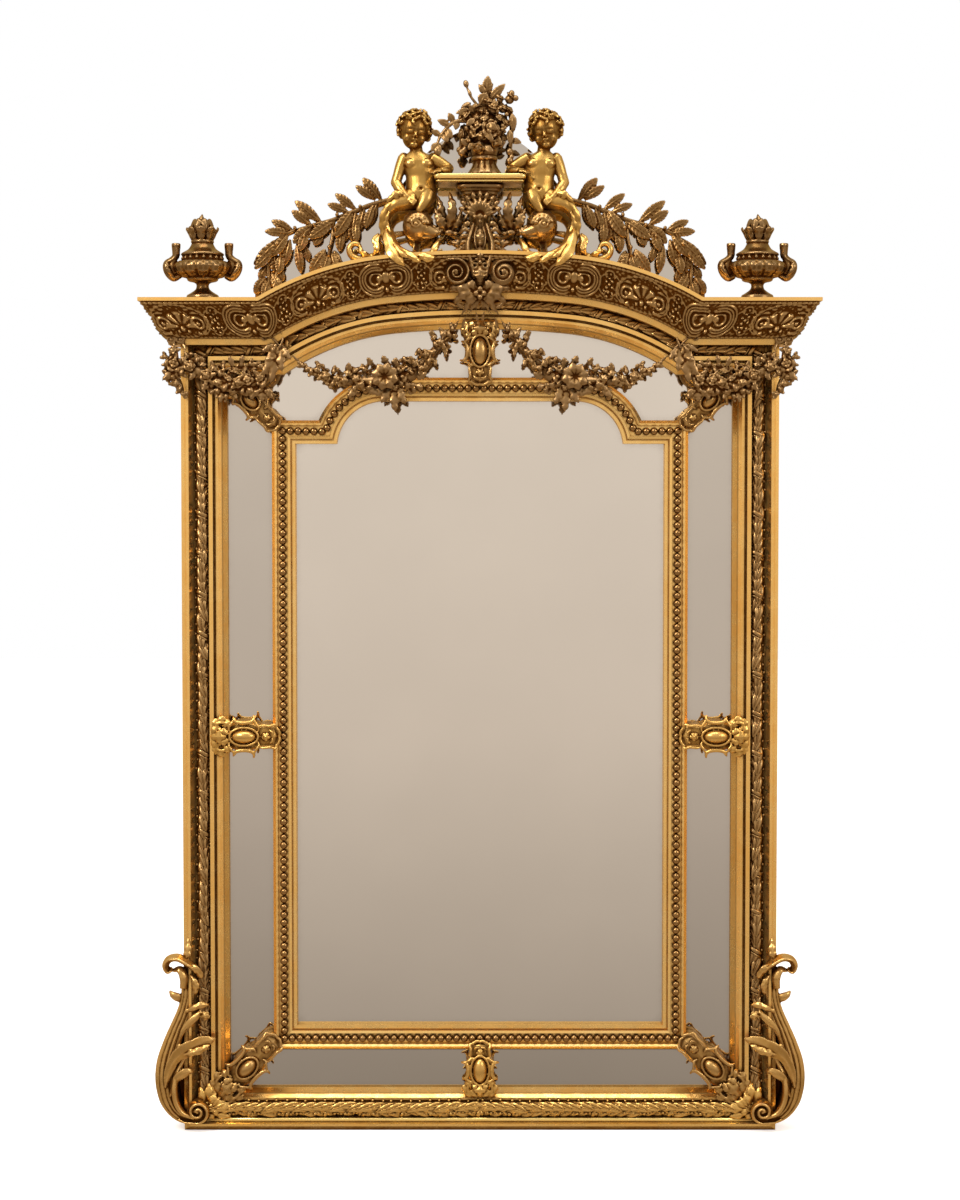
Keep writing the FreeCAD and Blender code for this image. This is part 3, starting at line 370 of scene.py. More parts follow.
def gilt(name, bright, warm, deep, crevice=0.012, dirtAndShade=1.0, gloss=0.30, wear=0.35, band=None, shade=None):
    # leaf of gold over red clay and gesso: cloudy tone, dust and painted shade in the hollows, painted highlight
    # on raised parts, clay rubbed through in places
    g = Graph(name)
    cloud = g.noise(5.0, 2.0).ramp(0.35, 0.65)
    mottle = g.noise(38.0, 4.0, 0.6)
    fine = g.noise(240.0, 3.0, 0.6)
    # painted shade: occlusion darkens creases and recesses, mixed with dust below
    hollow = 1.0 - g.node("AmbientOcclusion", {"Distance": crevice}, output="AO", samples=5)
    relief = g.node("Attribute", output="Fac", attribute_name="relief")
    low, high = (0.0 - relief).ramp(0.0, 0.75), relief.ramp(0.12, 0.8)
    # dust and painted shade: darker where occluded or low, less on raised parts
    dustAndShade = (hollow * (1.3 + mottle * 1.2) + low * 0.95 - high * 0.25).ramp(0.16, 1.05, 0.0, dirtAndShade)
    gold = g.mix(cloud * 0.5 + mottle.ramp(0.35, 0.7) * 0.5, bright, warm)
    # painted highlight: raised parts lightened toward a paler gold, partly burnish
    gold = g.mix(high * 0.75, gold, tuple(min(0.96, c * 1.12 + 0.02) for c in bright))
    ground = dustAndShade
    if band:
        # painted shade: the ground between two depths, behind the carved leaves, is darkened
        depth = wallY * 0.001 - g.node("SeparateXYZ", {"Vector": g.place}, output="Y")
        low, top, blur = *band, gilding["groundBlur"]
        within = depth.ramp(low - blur, low) * depth.ramp(top + blur, top)
        ground = (dustAndShade + within * gilding["groundShade"]).math("MINIMUM", 1.0)
    rubbed = (g.noise(15.0, 5.0, 0.7) * 0.75 + fine * 0.25).ramp(0.60, 0.67, 0.0, wear)
    colour = g.mix(ground, g.mix(rubbed, gold, gilding["clay"]), deep)
    if shade:
        # painted shade: darker above this height, less on raised parts
        level = g.node("SeparateXYZ", {"Vector": g.place}, output="Z")
        colour = g.mix(level.ramp(*shade, 0.0, gilding["shadeDark"]) * (1.0 - high * 0.6), colour, deep)
    rough = gloss + mottle.ramp(0.3, 0.8, -0.04, 0.12) + ground * 0.25 + rubbed * 0.2 - high * 0.05
    metal = 0.98 - ground * 0.24 - rubbed * 0.5
    texture = mottle * 0.5 + fine * 0.35 + g.noise(900.0, 2.0) * 0.15
    return g.surface(Base_Color=colour, Roughness=rough, Metallic=metal, Specular_IOR_Level=gilding["edgeLevel"],
                     Specular_Tint=gilding["edgeTint"],
                     Normal=g.bump(texture, gilding["grain"], gilding["grainDepth"]))


def silvered(name, tint, foxing=0.35):
    # old plate glass: silver that greys a little, with fine specks and a darker margin of age
    g = Graph(name)
    haze = g.noise(3.0, 3.0).ramp(0.3, 0.75)
    specks = g.noise(330.0, 2.0, 0.7).ramp(0.735, 0.77) * g.noise(7.0, 3.0).ramp(0.45, 0.7)
    near = 1.0 - g.node("AmbientOcclusion", {"Distance": 0.022}, output="AO", samples=5)
    edge = (near * (0.6 + g.noise(60.0, 4.0, 0.7))).ramp(0.25, 0.9, 0.0, foxing)
    pale = tuple(min(1.0, t * 1.04) for t in tint)
    colour = g.mix(edge + specks * 0.45, g.mix(haze, tint, pale), (0.16, 0.12, 0.085))
    return g.surface(Base_Color=colour, Roughness=0.035 + haze * 0.02 + edge * 0.25, Metallic=1.0,
                     Specular_IOR_Level=0.5, Normal=g.bump(g.noise(2.2, 1.0), 0.04, 0.01))


def timber(name, light, dark):
    # sawn softwood at the back: long rings and short fibres along the grain
    g = Graph(name)
    stretch = g.node("Mapping", {"Vector": g.place, "Scale": (14.0, 14.0, 0.9)})
    rings = g.node("TexWave", {"Vector": stretch, "Scale": 1.2, "Distortion": 5.0, "Detail": 3.0,
        "Detail Scale": 1.4}, output="Fac", wave_type="RINGS")
    fibre = g.noise(30.0, 5.0, 0.7, g.node("Mapping", {"Vector": g.place, "Scale": (9.0, 9.0, 0.16)}))
    stain = g.noise(9.0, 5.0, 0.65).ramp(0.45, 0.85)
    board = g.mix(rings * 0.3 + fibre * 0.7, light, dark)
    colour = g.mix(stain * 0.3, board, tuple(c * 0.45 for c in dark))
    return g.surface(Base_Color=colour, Roughness=0.62 + fibre * 0.2, Normal=g.bump(fibre, 0.35, 0.001))


def forged(name, colour, rust):
    # iron with patches of rust
    g = Graph(name)
    patch = g.noise(70.0, 5.0, 0.65).ramp(0.42, 0.66)
    return g.surface(Base_Color=g.mix(patch, colour, rust), Roughness=0.42 + patch * 0.35,
                     Metallic=0.92 - patch * 0.6, Normal=g.bump(g.noise(260.0, 4.0), 0.4, 0.0006))


# the bright, warm and deep tone of each gilding, then what sets it apart
corniceGold = gilt("corniceGold", (0.99, 0.66, 0.24), (0.92, 0.54, 0.15), (0.10, 0.028, 0.002), gloss=0.28)
bandGold = gilt("bandGold", (0.99, 0.66, 0.24), (0.92, 0.54, 0.15), (0.085, 0.024, 0.001),
                gloss=0.27, wear=0.2, band=(0.0715, 0.0728))
innerGold = gilt("innerGold", (1.0, 0.70, 0.28), (0.95, 0.59, 0.18), (0.16, 0.050, 0.004),
                 crevice=0.006, dirtAndShade=0.5, gloss=0.26, wear=0.12)
# painted reflection: the gilded beads take a dark brown base in place of the dark surroundings they mirror
beadGold = gilt("beadGold", (0.27, 0.145, 0.043), (0.20, 0.10, 0.027), (0.035, 0.010, 0.001),
                crevice=0.009, dirtAndShade=0.95, gloss=0.14, wear=0.1)
carvedGold = gilt("carvedGold", (0.62, 0.375, 0.105), (0.51, 0.275, 0.064), (0.075, 0.019, 0.001), crevice=0.016)
figureGold = gilt("figureGold", (0.50, 0.30, 0.085), (0.40, 0.22, 0.05), (0.085, 0.024, 0.001),
                  crevice=0.018, gloss=0.31, shade=(1.943, 1.957))
footGold = gilt("footGold", (0.55, 0.33, 0.105), (0.41, 0.22, 0.057), (0.080, 0.024, 0.001),
                crevice=0.016, gloss=0.31, wear=0.45)
leafGold = gilt("leafGold", (0.46, 0.275, 0.092), (0.33, 0.18, 0.05), (0.075, 0.020, 0.001), gloss=0.31, wear=0.3)
carvedBrown = gilt("carvedBrown", (0.35, 0.21, 0.078), (0.27, 0.147, 0.043), (0.075, 0.021, 0.001),
                   gloss=0.32, wear=0.2)
antique = gilt("antiqueGold", (0.225, 0.13, 0.047), (0.14, 0.072, 0.021), (0.050, 0.013, 0.001),
               crevice=0.014, gloss=0.31, wear=0.3)
laurelGold = gilt("laurelGold", (0.225, 0.125, 0.042), (0.145, 0.073, 0.022), (0.045, 0.012, 0.001),
                  crevice=0.014, gloss=0.32, wear=0.3)
bronze = gilt("bronzeGold", (0.265, 0.155, 0.06), (0.165, 0.086, 0.026), (0.045, 0.012, 0.001),
              crevice=0.016, gloss=0.36, wear=0.15)
mirrorGlass = silvered("mirrorGlass", (0.77, 0.765, 0.76))
sideGlass = silvered("sideGlass", (0.615, 0.605, 0.595))
pine = timber("backPine", (0.40, 0.25, 0.13), (0.22, 0.115, 0.05))
iron = forged("forgedIron", (0.13, 0.125, 0.12), (0.12, 0.045, 0.02))
steel = forged("screwSteel", (0.42, 0.41, 0.40), (0.16, 0.09, 0.05))

finishes = {
    "back": pine, "crest_board": carvedGold, "backboard": pine, "hangers": iron, "hanger_screws": steel,
    "cornice": corniceGold, "stile": bandGold, "head": bandGold, "rail_bottom": bandGold, "inner": innerGold,
    "plate": sideGlass, "plate_centre": mirrorGlass, "plate_top": mirrorGlass, "plate_crest": sideGlass,
    "ledge": corniceGold,
}


def dress():
    # the solids that stay in sight, each by the longest name that fits it
    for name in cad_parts:
        fits = [key for key in finishes if name.startswith(key)]
        materials = bpy.data.objects[name].data.materials
        materials.clear()
        materials.append(finishes[max(fits, key=len)] if fits else carvedGold)


dress()
print("solids dressed")


def scatterTree():
    # shapes stood along a curve, facing forward, each turned, moved and scaled a little by a fixed seed
    tree = bpy.data.node_groups.new("alongCurve", "GeometryNodeTree")
    for label, kind in (("Geometry", "Geometry"), ("Shape", "Object"), ("Finish", "Material"),
            ("Spacing", "Float"), ("Smallest", "Float"), ("Largest", "Float"), ("Turn", "Vector"),
            ("Stray", "Vector"), ("Seed", "Int")):
        tree.interface.new_socket(label, in_out="INPUT", socket_type="NodeSocket" + kind)
    tree.interface.new_socket("Geometry", in_out="OUTPUT", socket_type="NodeSocketGeometry")

    def node(kind, inputs=(), **settings):
        made = tree.nodes.new(kind)
        for key, setting in settings.items():
            setattr(made, key, setting)
        for key, given in inputs:
            if isinstance(given, bpy.types.NodeSocket):
                tree.links.new(given, made.inputs[key])
            else:
                made.inputs[key].default_value = given
        return made

    given = node("NodeGroupInput").outputs
    line = node("GeometryNodeMeshToCurve", [("Mesh", given["Geometry"])])
    stations = node("GeometryNodeCurveToPoints", [("Curve", line.outputs[0]), ("Length", given["Spacing"])],
                    mode="LENGTH")

    def jitter(amount, offset):
        low = node("ShaderNodeVectorMath", [(0, amount), (1, (-1.0, -1.0, -1.0))], operation="MULTIPLY")
        seed = node("ShaderNodeMath", [(0, given["Seed"]), (1, offset)], operation="ADD")
        picked = node("FunctionNodeRandomValue", [("Seed", seed.outputs[0])], data_type="FLOAT_VECTOR")
        tree.links.new(low.outputs[0], picked.inputs["Min"])
        tree.links.new(amount, picked.inputs["Max"])
        return picked.outputs["Value"]

    moved = node("GeometryNodeSetPosition", [("Geometry", stations.outputs["Points"]),
        ("Offset", jitter(given["Stray"], 7))])
    facing = node("FunctionNodeAxesToRotation", [("Primary Axis", (0.0, -1.0, 0.0)),
        ("Secondary Axis", stations.outputs["Tangent"])], primary_axis="Z", secondary_axis="X")
    lean = node("FunctionNodeEulerToRotation", [("Euler", jitter(given["Turn"], 3))])
    turned = node("FunctionNodeRotateRotation", [("Rotation", facing.outputs[0]), ("Rotate By", lean.outputs[0])],
                  rotation_space="LOCAL")
    size = node("FunctionNodeRandomValue", [("Seed", given["Seed"])], data_type="FLOAT")
    floats = [s for s in size.inputs if s.type == "VALUE" and s.enabled]
    tree.links.new(given["Smallest"], floats[0])
    tree.links.new(given["Largest"], floats[1])
    scale = [s for s in size.outputs if s.type == "VALUE" and s.enabled][0]
    shape = node("GeometryNodeObjectInfo", [("Object", given["Shape"])])
    copies = node("GeometryNodeInstanceOnPoints", [("Points", moved.outputs[0]), ("Scale", scale),
        ("Instance", shape.outputs["Geometry"]), ("Rotation", turned.outputs[0])])
    real = node("GeometryNodeRealizeInstances", [("Geometry", copies.outputs[0])])
    soft = node("GeometryNodeSetShadeSmooth", [("Geometry", real.outputs[0])])
    done = node("GeometryNodeSetMaterial", [("Geometry", soft.outputs[0]), ("Material", given["Finish"])])
    node("NodeGroupOutput", [(0, done.outputs[0])])
    return tree


alongCurve = scatterTree()


def strung(name, path, shape, material, spacing, sizeRange=(1.0, 1.0), turn=(0, 0, 0), stray=(0, 0, 0), seed=1):
    # one string of shapes along a path of points in millimetres
    points = np.asarray(path, float) * 0.001
    data = bpy.data.meshes.new(name)
    data.from_pydata(points.tolist(), [(i, i + 1) for i in range(len(points) - 1)], [])
    piece = addObject(data)
    modifier = piece.modifiers.new("alongCurve", "NODES")
    modifier.node_group = alongCurve
    given = {"Shape": shape, "Finish": material, "Spacing": spacing * 0.001, "Smallest": sizeRange[0],
             "Largest": sizeRange[1], "Turn": tuple(radians(a) for a in turn),
             "Stray": tuple(a * 0.001 for a in stray), "Seed": seed}
    for item in alongCurve.interface.items_tree:
        if item.in_out == "INPUT" and item.name in given:
            modifier[item.identifier] = given[item.name]
    return baked(piece, name)


def shapeOf(carving, name):
    # a small shape to repeat, kept out of the scene
    data = carving.mesh(name)
    for polygon in data.polygons:
        polygon.use_smooth = True
    return bpy.data.objects.new(name, data)


def joined(pieces, name):
    # several meshes as one
    points, faces, total = [], [], 0
    for piece in pieces:
        data = piece.data
        co = np.empty(len(data.vertices) * 3, np.float32)
        data.vertices.foreach_get("co", co)
        points.append(co.reshape(-1, 3))
        faces += [tuple(v + total for v in p.vertices) for p in data.polygons]
        total += len(data.vertices)
        bpy.data.objects.remove(piece)
    data = bpy.data.meshes.new(name)
    data.from_pydata(np.vstack(points).tolist(), [], faces)
    data.update()
    return addObject(data)


head = {"reach": 594.0, "spring": 1516.0, "crownZ": -93.0, "crownR": 1700.0,
        "haunchX": 123.0, "haunchZ": 1130.84, "haunchR": 470.0}
headJoin = atan2(head["haunchX"], head["haunchZ"] - head["crownZ"])


def mitreX(u):
    # where the level moulding at offset u meets the arched one
    rise = head["spring"] + u - head["haunchZ"]
    return head["haunchX"] + sqrt((head["haunchR"] + u) ** 2 - rise ** 2)


def archHalf(u, count):
    # the right half of the arch at offset u, from the mitre up to the middle
    r1, r2 = head["haunchR"] + u, head["crownR"] + u
    start = acos((mitreX(u) - head["haunchX"]) / r1)
    stop = pi / 2 - headJoin
    long1, long2 = r1 * (stop - start), r2 * headJoin
    s = np.linspace(0, long1 + long2, count)
    a = np.where(s < long1, start + s / r1, 0)
    b = np.where(s < long1, 0, headJoin - (s - long1) / r2)
    x = np.where(s < long1, head["haunchX"] + r1 * np.cos(a), r2 * np.sin(b))
    z = np.where(s < long1, head["haunchZ"] + r1 * np.sin(a), head["crownZ"] + r2 * np.cos(b))
    return x, z, s


bead = {"radius": 7.7, "neck": 2.6, "depth": 67.4, "pitch": 15.5, "line": 394.0, "low": 182.0, "high": 1403.0,
        "arcX": 193.0, "arcZ": 1369.0, "arcR": 119.0}


def beadStrings():
    c = Carving()
    c.ball((0, 0, 0), bead["radius"], axis=(0, 1, 0), normal=(0, 0, 1), rings=8, around=12)
    # the neck of turned wood between two beads
    step, d = bead["pitch"], bead["depth"]
    c.tube([(-step / 2, 0, -3), (step / 2, 0, -3)], bead["neck"], around=6, normal=(0, 0, 1))
    shape = shapeOf(c, "bead")
    line, low, high = bead["line"], bead["low"], bead["high"]
    # across the head: in along the shoulder, round the quarter circle, and over the top
    angle = np.linspace(0.28, pi / 2, 24)
    arc = [(bead["arcX"] + bead["arcR"] * cos(a), bead["arcZ"] + bead["arcR"] * sin(a)) for a in angle]
    half = [(line - step, high)] + arc
    strings = {"sides": [[(s * line, low), (s * line, high)] for s in (1, -1)],
               "bottom": [[(step - line, low), (line - step, low)]],
               "top": [half + [(-x, z) for x, z in reversed(half)]]}
    for word, lines in strings.items():
        run = [strung("beadString", [at(x, z, d) for x, z in ends], shape, beadGold, step) for ends in lines]
        settle(joined(run, "beads_" + word + "_turned"), beadGold, ("beads_" + word,))
    print("beads strung")


beadStrings()


band = {"side": 552.5, "low": 34.0, "high": 1556.0, "head": 45.0, "depth": 72.3, "pitch": 19.0, "leaf": 37.0,
        "width": 14.5, "rise": 9.5, "mitre": 14, "footRows": ((3.5, 1), (13, 9)),
        "fillet": ((16, 60), (16, 83), (17.5, 86), (21, 87.4), (24.5, 86), (26, 83), (26, 60)), "filletHalf": 586}


def leafTuft(flip):
    # overlapping pointed leaves to one side, berries to the other, along X with the front up Z
    c = Carving()
    up = (0, 0, 1)
    n, w, r = band["leaf"], band["width"], band["rise"]
    for lean, shift, size, high in ((14, -5.5, 1.0, 1.0), (-17, 6.0, 0.9, 0.8), (42, -8.0, 0.6, 0.5),
            (-44, 9.0, 0.5, 0.4)):
        a = radians(lean) * flip
        along = np.array((cos(a), sin(a), 0))
        base = np.array((-4.0, shift * flip, 0.0))
        t = np.linspace(0, 1, 8)
        rise = r * high * np.sin(t * 2.2) ** 0.8 + 1
        path = base + along * (n * size * t)[:, None] + np.array(up) * rise[:, None]
        c.leaf(path, w * size, thick=2.6, rib=-2.0, normal=up, peak=0.38, steps=8, rows=5)
        c.tube(path[:-1] + np.array((0, 0, 1.0)), [1.5, 1.1, 0.5], around=4, normal=up)
    for x, y, q in ((2.0, 11.5, 3.2), (9.0, 10.5, 2.8), (-4.5, 10.5, 2.6), (4.0, -12.0, 2.4)):
        c.ball((x, y * flip, 3.6), q, axis=(0, 1, 0), normal=up, rings=5, around=7)
    return shapeOf(c, "leafTuft")


def ribbonTurn():
    # the ribbon that crosses the leaves on the slant
    c = Carving()
    t = np.linspace(-1, 1, 9)
    path = np.stack([7 * t, 13.0 * t, 12.0 - 9.5 * t ** 4], 1)
    c.tube(path, [3.6, 4.4, 3.6], flat=0.35, around=6, normal=(0, 0, 1))
    c.tube(path + (7.5, 0, -0.6), [1.8, 2.0, 1.8], flat=0.6, around=5, normal=(0, 0, 1))
    return shapeOf(c, "ribbonTurn")


def leafBands():
    tufts = {1: leafTuft(1), -1: leafTuft(-1)}
    turn = ribbonTurn()
    shake = {"sizeRange": (1.02, 1.22), "turn": (4, 5, 8), "stray": (1.0, 0.5, 1.0)}
    low, d, pitch = band["low"], band["depth"], band["pitch"]
    near = band["side"] - band["mitre"]

    def run(name, lines, hand, seed, finish):
        pieces = [strung(name, line, tufts[hand if k == 0 else -hand], finish, pitch, seed=seed + 40 * k, **shake)
                  for k, line in enumerate(lines)]
        pieces.append(strung(name, lines[0], turn, finish, pitch * 4, seed=seed, turn=(2, 2, 5)))
        settle(joined(pieces, name), finish)

    for word, side in sides.items():
        x = side * band["side"]
        # painted light: the same leaves take a brighter gold on the head and the brightest along the foot, as lit
        # copies of the stiles' darker gold
        run("leaves_stile_" + word, [[at(x, band["high"], d), at(x, low + 10, d)]], -side, 5 + side, carvedBrown)
        line = [(near, head["spring"] + band["head"]), *zip(*archHalf(band["head"], 60)[:2])]
        run("leaves_head_" + word, [[at(side * a, b, d) for a, b in line]], side, 9 + side, leafGold)
        # two rows side by side along the foot
        rows = [[at(a, low + up, d + front) for a in (0, side * near)] for up, front in band["footRows"]]
        run("leaves_foot_" + word, rows, side, 15 + side, carvedGold)
    # a bright fillet below the leaves of the foot
    c = Carving()
    reach = band["filletHalf"]
    c.loft(np.array([[at(x, z, depth) for z, depth in band["fillet"]] for x in np.linspace(-reach, reach, 9)]))
    settle(addObject(c.mesh("foot_fillet")), corniceGold)
    print("leaf bands laid")


leafBands()


frieze = {"low": 67.3, "high": 136.7, "rows": 60, "step": 1.5, "period": 280.0, "relief": 7.0}
friezeProfile = ((67, 111.4), (76, 123.2), (90, 131.2), (115, 142.2), (127, 154.2), (137, 161.2))


def ridge(distance, width):
    return np.exp(-(distance / width) ** 2)


def dome(a, b, x, y, radius, squash=1.0):
    return np.sqrt(np.clip(1 - ((a - x) ** 2 + ((b - y) * squash) ** 2) / radius ** 2, 0, None))


def shellMotif(a, b):
    # a fan of fluted rays over two curls, in an oval of leafy line
    y = b + 12
    angle = np.arctan2(y, a + 1e-6)
    reach = np.hypot(a, y)
    rays = np.clip(np.cos(angle * 9 - pi / 2 * 9) * 0.5 + 0.62, 0, 1) ** 0.7
    fan = rays * np.clip((30 - reach) / 5, 0, 1) * np.clip((reach - 5) / 6, 0, 1) * (y > -3) * (0.35 + reach / 40)
    parts = [fan, dome(a, b, 0, -15, 5)]
    for side in (-1, 1):
        curl = np.hypot(a - side * 32, b + 6)
        turn = np.arctan2(b + 6, (a - side * 32) * side)
        parts += [0.85 * ridge(curl - 9 - 3.2 * turn / pi, 2.9) * (curl < 18),
                  0.7 * ridge(curl - 19 - 2 * turn / pi, 2.0 + np.sin(turn * 9)) * (a * side > 24),
                  dome(a, b, side * 9, -19, 3.4), 0.8 * dome(a, b, side * 32, -6, 4),
                  0.6 * dome(a, b, side * 22, 21, 5, 1.7)]
    oval = np.hypot(a / 50, b / 31)
    parts.append(0.6 * ridge((oval - 0.98) * 31, 2.1 + 1.2 * np.sin(np.arctan2(b, a) * 22)))
    return np.maximum.reduce(parts) + 0.22 * dome(a, b, 0, 0, 46, 1.5)


def rosetteMotif(a, b):
    # two eyes of concentric scroll facing each other about a bud
    parts = [0.9 * dome(a, b, 0, 2, 8, 0.75), 0.7 * dome(a, b, 0, -20, 4)]
    for side in (-1, 1):
        r = np.hypot(a - side * 19, b * 1.02)
        turn = np.arctan2(b, (a - side * 19) * side)
        outerHalf = np.clip(((a - side * 6) * side) / 6, 0, 1)
        for size, high in ((29, 0.85), (23.5, 0.7), (18.5, 0.8)):
            parts.append(high * ridge(r - size - 1.2 * np.sin(turn), 2.3) * outerHalf)
        parts += [0.8 * ridge(r - 10 - 2.6 * turn / pi, 2.6) * (r < 17),
                  0.95 * dome(a, b, side * 12, 1, 6.5, 1.1), 0.6 * dome(a, b, side * 8, -15, 3.6),
                  0.6 * dome(a, b, side * 7, 17, 4.5, 1.5)]
    return np.maximum.reduce(parts) + 0.25 * dome(a, b, 0, 0, 50, 1.6)


def berryMotif(a, b):
    # berries of several sizes between two pairs of curved lines
    parts = [dome(a, b, x, y, r) for x, y, r in (
        (0, 0, 3.6), (6, 4, 3), (-5, 6, 3.2), (4, -6, 3.4), (-6, -4, 3), (1, 11, 3), (0, -13, 3.2), (8, -12, 2.6),
        (-8, -14, 2.6), (7, 14, 2.6), (-8, 15, 2.8), (0, 20, 2.4), (1, -21, 2.6))]
    for side in (-1, 1):
        parts += [0.7 * ridge(np.hypot(a - side * 4, b * 0.8) - 15, 1.6) * (a * side > 6),
                  0.6 * ridge(np.hypot(a - side * 2, b - side * 18) - 8, 1.5) * (np.abs(b) > 12)]
    return np.maximum.reduce(parts)


def friezeHeight(s, v):
    # motifs follow one another: shell, berries, rosette, berries
    p = frieze["period"]
    parts = [0.13 + 0.10 * np.sin(s * 0.55 + 3 * np.sin(v * 0.16)) * np.sin(v * 0.5 + 2 * np.sin(s * 0.09))]
    for quarter, motif in enumerate((shellMotif, berryMotif, rosetteMotif, berryMotif)):
        local = (s - p * quarter / 4 + p / 2) % p - p / 2
        parts.append(motif(local / 1.08, v / 1.2) * (np.abs(local) < p * 0.2))
    # a leafy scroll that winds through the ground
    wind = v - 19 * np.sin(s * 2 * pi / 70 + 0.6)
    parts.append((0.42 + 0.14 * np.sin(s * 0.8 + wind * 0.5)) * ridge(wind, 3.2 + 1.6 * np.sin(s * 0.8)))
    # a running edge of small leaves along both sides
    lobe = np.abs(np.sin(s * pi / 9.5)) ** 0.6
    for edge in (-1, 1):
        parts.append(0.5 * np.clip(1 - np.abs(v * edge - 39.0) / (3.6 * lobe + 0.3), 0, 1) ** 0.5)
    return np.maximum.reduce(parts)


def friezeSide(word, side):
    # the sloped face of half the cornice: the return at the end, the level part and the arch up to the knot
    u = np.linspace(frieze["low"], frieze["high"], frieze["rows"])
    profile = np.array(friezeProfile, float)
    depth = np.interp(u, profile[:, 0], profile[:, 1])
    slope = np.concatenate([[0], np.cumsum(np.hypot(np.diff(u), np.diff(depth)))])
    v = slope - slope[-1] / 2
    ends = head["reach"] - 92 + depth
    middle = len(u) // 2
    back = 8.0
    lengths = (depth[middle] - back, ends[middle] - mitreX(u[middle]), archHalf(u[middle], 3)[2][-1])
    counts = [int(n / frieze["step"]) for n in lengths]
    grid = np.zeros((sum(counts) + 1, len(u), 3))
    for j in range(len(u)):
        x, z, _ = archHalf(u[j], counts[2] + 1)
        level = head["spring"] + u[j]
        t = np.linspace(0, 1, counts[0], endpoint=False)
        returned = np.stack([ends[j] + 0 * t, wallY - (back + (depth[j] - back) * t), level + 0 * t], 1)
        t = np.linspace(0, 1, counts[1], endpoint=False)
        flat = np.stack([ends[j] + (mitreX(u[j]) - ends[j]) * t, wallY - depth[j] + 0 * t, level + 0 * t], 1)
        arch = np.stack([x, wallY - depth[j] + 0 * x, z], 1)
        grid[:, j] = np.vstack([returned, flat, arch])
    s = np.concatenate([[0], np.cumsum(np.linalg.norm(np.diff(grid[:, middle], axis=0), axis=1))])
    # motifs are counted from the level part's end, so that a shell sits near the corner
    local = s - lengths[0] - 50.0
    height = friezeHeight(local[:, None], v[None, :])
    rim = np.minimum(1, (slope[-1] / 2 - np.abs(v)) / 3.0)
    corner = np.minimum(1, np.abs(s - lengths[0]) / 6.0)
    # painted shade on the low ground and painted highlight on the raised motifs, through the relief attribute
    tone = np.clip(height * 2.0 - 0.85, -0.75, 0.45)
    height = height * rim[None, :] * (0.35 + 0.65 * corner)[:, None] * frieze["relief"]
    across = np.gradient(grid, axis=1)
    along = np.gradient(grid, axis=0)
    normal = np.cross(across, along)
    normal /= np.linalg.norm(normal, axis=2)[:, :, None]
    grid += normal * (height * np.sign(-normal[len(grid) // 2, middle, 1]))[:, :, None]
    grid[:, :, 0] *= side
    k = len(u)
    faces = [(i * k + j, i * k + j + 1, (i + 1) * k + j + 1, (i + 1) * k + j)
             for i in range(len(grid) - 1) for j in range(k - 1)]
    if side < 0:
        faces = [f[::-1] for f in faces]
    c = Carving()
    c.add(grid.reshape(-1, 3), faces)
    settle(addObject(c.mesh("frieze_" + word)), carvedBrown, lift=tone.ravel())


for word, side in sides.items():
    friezeSide(word, side)
print("frieze carved")


def dent(piece, centre, radius, depth, direction=outward):
    # presses a soft hollow into a mesh, or raises it where depth is negative
    data = piece.data
    co = np.empty(len(data.vertices) * 3, np.float32)
    data.vertices.foreach_get("co", co)
    co = co.reshape(-1, 3)
    gap = co * 1000 - np.array(centre)
    radius = np.broadcast_to(np.array(radius, float), (3,))
    pull = np.exp(-((gap / radius) ** 2).sum(1)) * depth * 0.001
    co -= np.array(direction) * pull[:, None]
    data.vertices.foreach_set("co", co.ravel())
    data.update()


child = {"headX": 128.6, "headZ": 1989.0, "depth": 112.0, "tilt": 8.0, "curls": 92, "voxel": 1.45}


def headFrame():
    # the head leans a little towards the middle and looks down
    lean = radians(child["tilt"])
    up = np.array((-sin(lean), -0.16, cos(lean)))
    up /= np.linalg.norm(up)
    face = unit(np.array((-0.14, -1.0, -0.20)) - up * np.dot((-0.14, -1.0, -0.20), up))
    return at(child["headX"], child["headZ"], child["depth"]), up, face, np.cross(up, face)


def onHead(a, b, c):
    # a to the side, b up and c forward of the middle of the head
    centre, up, face, side = headFrame()
    return centre + side * a + up * b + face * c


